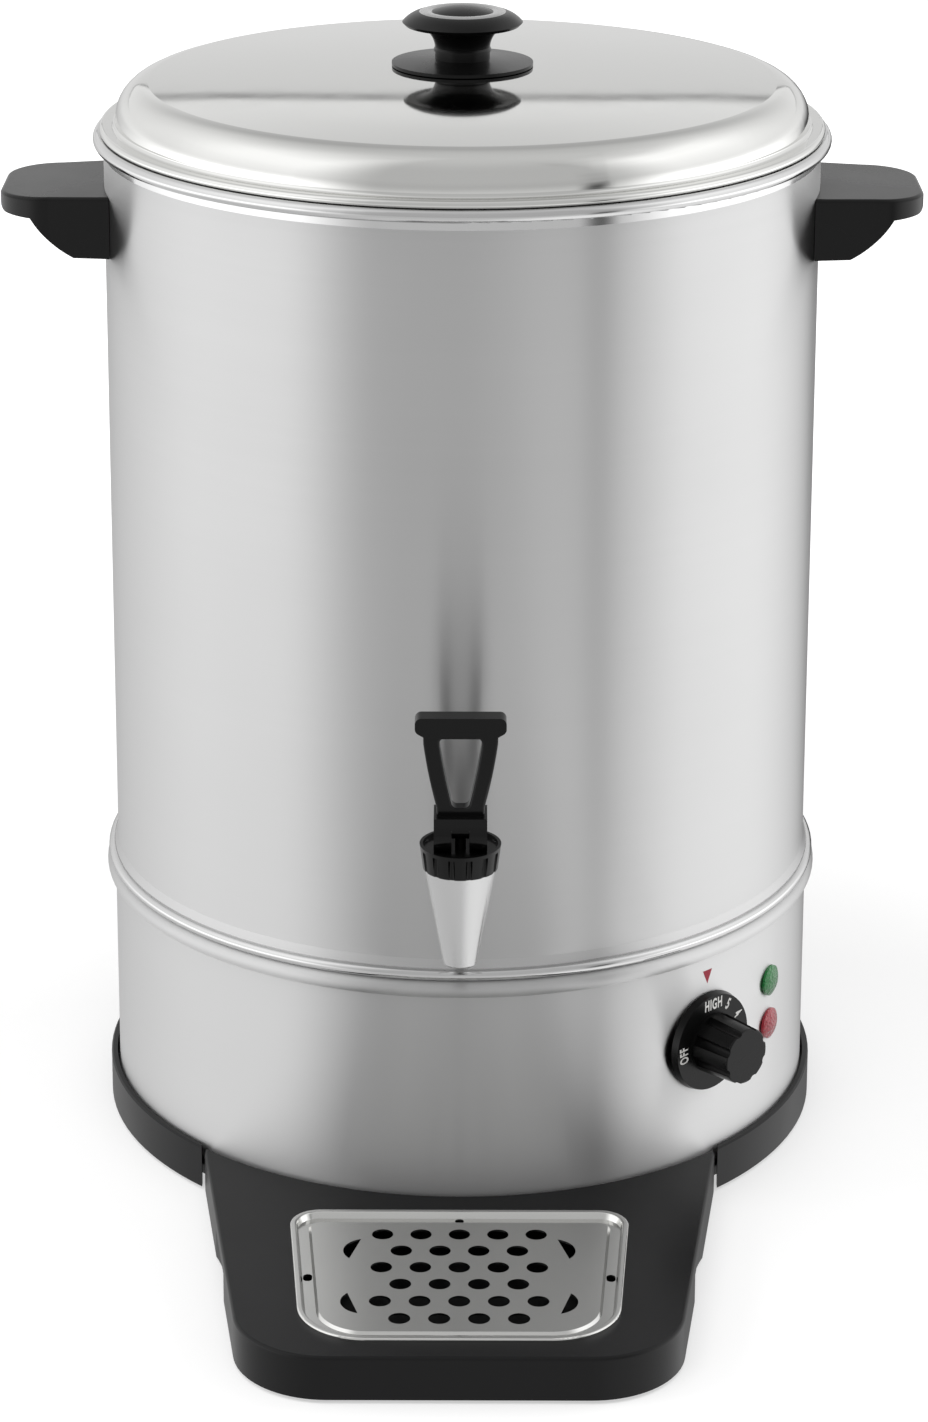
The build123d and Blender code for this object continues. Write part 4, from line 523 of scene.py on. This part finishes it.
# each row has its height in degrees as seen from the tent's centre, how far it follows the arch, the
# grey in front, and the grey of each panel in the list above, or None where a panel doesn't reach
TENT_ROWS = [
    (-75, 0, 0.82, (None, 0.45, 0.75, 1.10, 1.25, None, 0.40)),
    (-40, 0, 0.82, (None, 0.45, 0.78, 1.15, 1.25, None, 0.30)),
    (-30, 0, 0.76, (None, 0.42, 0.92, 1.20, 1.15, 1.00, 0.20)),
    (-24, 0, 0.72, (None, 0.40, 1.25, 1.36, 0.90, 0.70, 0.12)),
    (-18, 0, 0.75, (None, 0.40, 1.72, 1.72, None, 0.22, 0.08)),
    (-8, 0, 0.75, (None, 0.50, 2.10, 2.10, None, 0.10, 0.08)),
    (-4, 0, 0.70, (None, 0.74, 1.95, 1.95, None, 0.12, 0.50)),
    (0, 0, 0.60, (0.90, 0.80, 1.60, 1.60, None, 0.30, None)),
    (6, 0.3, 0.58, (0.95, 0.80, 1.30, 1.30, None, 0.50, None)),
    (17, 1, 0.60, (0.95, 0.77, 1.20, 1.20, None, 0.50, None)),
    (17.3, 1, 0.60, (0.95, 0.36, 1.20, 1.20, None, 0.50, None)),
    (18, 1, 0.60, (0.95, 0.36, 1.20, 1.20, None, 0.50, None)),
    (18.3, 1, 0.60, (0.95, 0.96, 1.20, 1.20, None, 0.50, None)),
    (20.5, 0.6, 0.62, (0.95, 0.88, 1.25, 1.25, None, 0.55, None)),
    (23.5, 0.2, 0.62, (0.92, 0.75, 1.30, 1.30, None, 0.55, None)),
    (27, 0, 0.62, (0.88, 0.64, 1.36, 1.36, None, 0.60, None)),
    (36, 0, 0.62, (0.85, 0.54, 1.40, 1.45, None, 0.62, None)),
    (46, 0, 0.62, (0.80, 0.52, 1.40, 1.38, None, 0.62, None)),
    (56, 0, 0.64, (0.72, 0.60, 1.25, 0.95, None, 0.60, None)),
    (66, 0, 0.68, (None, 0.68, 1.05, 0.76, None, None, None)),
    (76, 0, 0.72, (None, 0.72, 0.85, 0.74, None, None, None)),
    (90, 0, 0.74, (None, None, None, None, None, None, None))]
print("tent rows:", len(TENT_ROWS), "panels:", len(PANELS))

# %% [markdown]
# ### The tent's mesh
# The rows are rings on a sphere. Behind the urn the wall's top is an arch, highest straight behind: the
# rows that follow it droop by the square of the angle away from there, up to a limit. The lid mirrors
# that edge as a dark line that bends with its dome.

# %% Tent mesh
TENT_RADIUS = 3.0
TENT_CENTRE = 0.5
TENT_SIDES = 240
ARCH_DROOP = 0.034
ARCH_LIMIT = 17


def share_of(panel, azimuth):
    """How much of a panel is met at an azimuth: 1 on the panel, 0 past its soft edges."""
    first, last, edge_before, edge_after = panel
    along = (azimuth - (first + last) / 2 + 180) % 360 - 180
    half_width = (last - first) / 2
    edge = edge_after if along > 0 else edge_before
    share = min(max((half_width + edge - abs(along)) / edge, 0), 1)
    return share * share * (3 - 2 * share)


tent_mesh = bmesh.new()
grey_layer = tent_mesh.verts.layers.float_color.new("grey")
tent_rings = []
for height, follows, front, panel_greys in TENT_ROWS:
    ring = []
    for side in range(TENT_SIDES):
        azimuth = 360 * side / TENT_SIDES - 180
        off_axis = min(180 - abs(azimuth), ARCH_LIMIT)
        turn, rise = radians(azimuth), radians(height - follows * ARCH_DROOP * off_axis ** 2)
        corner = tent_mesh.verts.new((
            TENT_RADIUS * cos(rise) * sin(turn), -TENT_RADIUS * cos(rise) * cos(turn),
            TENT_CENTRE + TENT_RADIUS * sin(rise)))
        grey = front
        for panel, panel_grey in zip(PANELS, panel_greys):
            if panel_grey is not None:
                share = share_of(panel, azimuth)
                grey = grey * (1 - share) + panel_grey * share
        corner[grey_layer] = (grey, grey, grey, 1)
        ring.append(corner)
    tent_rings.append(ring)
for low, high in zip(tent_rings, tent_rings[1:]):
    for side in range(TENT_SIDES):
        following = (side + 1) % TENT_SIDES
        tent_mesh.faces.new((low[side], low[following], high[following], high[side]))
tent_data = bpy.data.meshes.new("tent")
tent_mesh.to_mesh(tent_data)
tent_mesh.free()
tent = bpy.data.objects.new("tent", tent_data)
bpy.context.collection.objects.link(tent)
print("tent faces:", len(tent_data.polygons))

# %% Tent cloth
tent_cloth = bpy.data.materials.new("tent_cloth")
tent_cloth.use_nodes = True
tree = tent_cloth.node_tree
tree.nodes.clear()
greys = add_node(tree, "ShaderNodeAttribute", {"attribute_name": "grey"}).outputs["Color"]
glow = add_node(tree, "ShaderNodeEmission", {}, {"Color": greys}).outputs[0]
add_node(tree, "ShaderNodeOutputMaterial", {}, {"Surface": glow})
tent_data.materials.append(tent_cloth)
tent.visible_camera = False
tent.visible_diffuse = False
tent.visible_shadow = False
tent.visible_transmission = False
print("tent is seen by reflections alone:", tent.visible_glossy and not tent.visible_camera)

# %% [markdown]
# ## The floor
# A white bench, so wide that its edge is never seen. Part of its white is its own glow, which only the
# camera sees, and the rest is lit by the lamps, so the urn's soft shadow stays. Away from the urn the
# glow grows until the bench meets the white ground. The steel mirrors the foot of the tent in its place.

# %% Floor
FLOOR_RADIUS = 14.0
FLOOR_SIDES = 96
FLOOR_GLOW = 0.52
GLOW_GROWS_FROM, GLOW_WHOLE_AT = 0.3, 1.5
floor_mesh = bmesh.new()
bmesh.ops.create_circle(floor_mesh, cap_ends=True, radius=FLOOR_RADIUS, segments=FLOOR_SIDES)
floor_data = bpy.data.meshes.new("floor")
floor_mesh.to_mesh(floor_data)
floor_mesh.free()
floor = bpy.data.objects.new("floor", floor_data)
bpy.context.collection.objects.link(floor)
floor_paint, tree, shader = start_material("white_floor", {
    "Base Color": linear("#bcbcbc"), "Roughness": 0.9, "Specular IOR Level": 0.0,
    "Emission Color": (1, 1, 1, 1)})
place = add_node(tree, "ShaderNodeTexCoord").outputs["Object"]
away = add_node(tree, "ShaderNodeVectorMath", {"operation": "LENGTH"}, {0: place}).outputs["Value"]
glow = add_node(tree, "ShaderNodeMapRange", {
    "From Min": GLOW_GROWS_FROM, "From Max": GLOW_WHOLE_AT, "To Min": FLOOR_GLOW, "To Max": 1.0},
    {"Value": away}).outputs[0]
seen_glow = add_node(tree, "ShaderNodeMath", {"operation": "MULTIPLY"},
                     {0: seen_ray(tree), 1: glow}).outputs[0]
tree.links.new(seen_glow, shader.inputs["Emission Strength"])
floor_data.materials.append(floor_paint)
floor.visible_glossy = False
bpy.context.scene.view_settings.view_transform = "Standard"
print("floor faces:", len(floor_data.polygons))
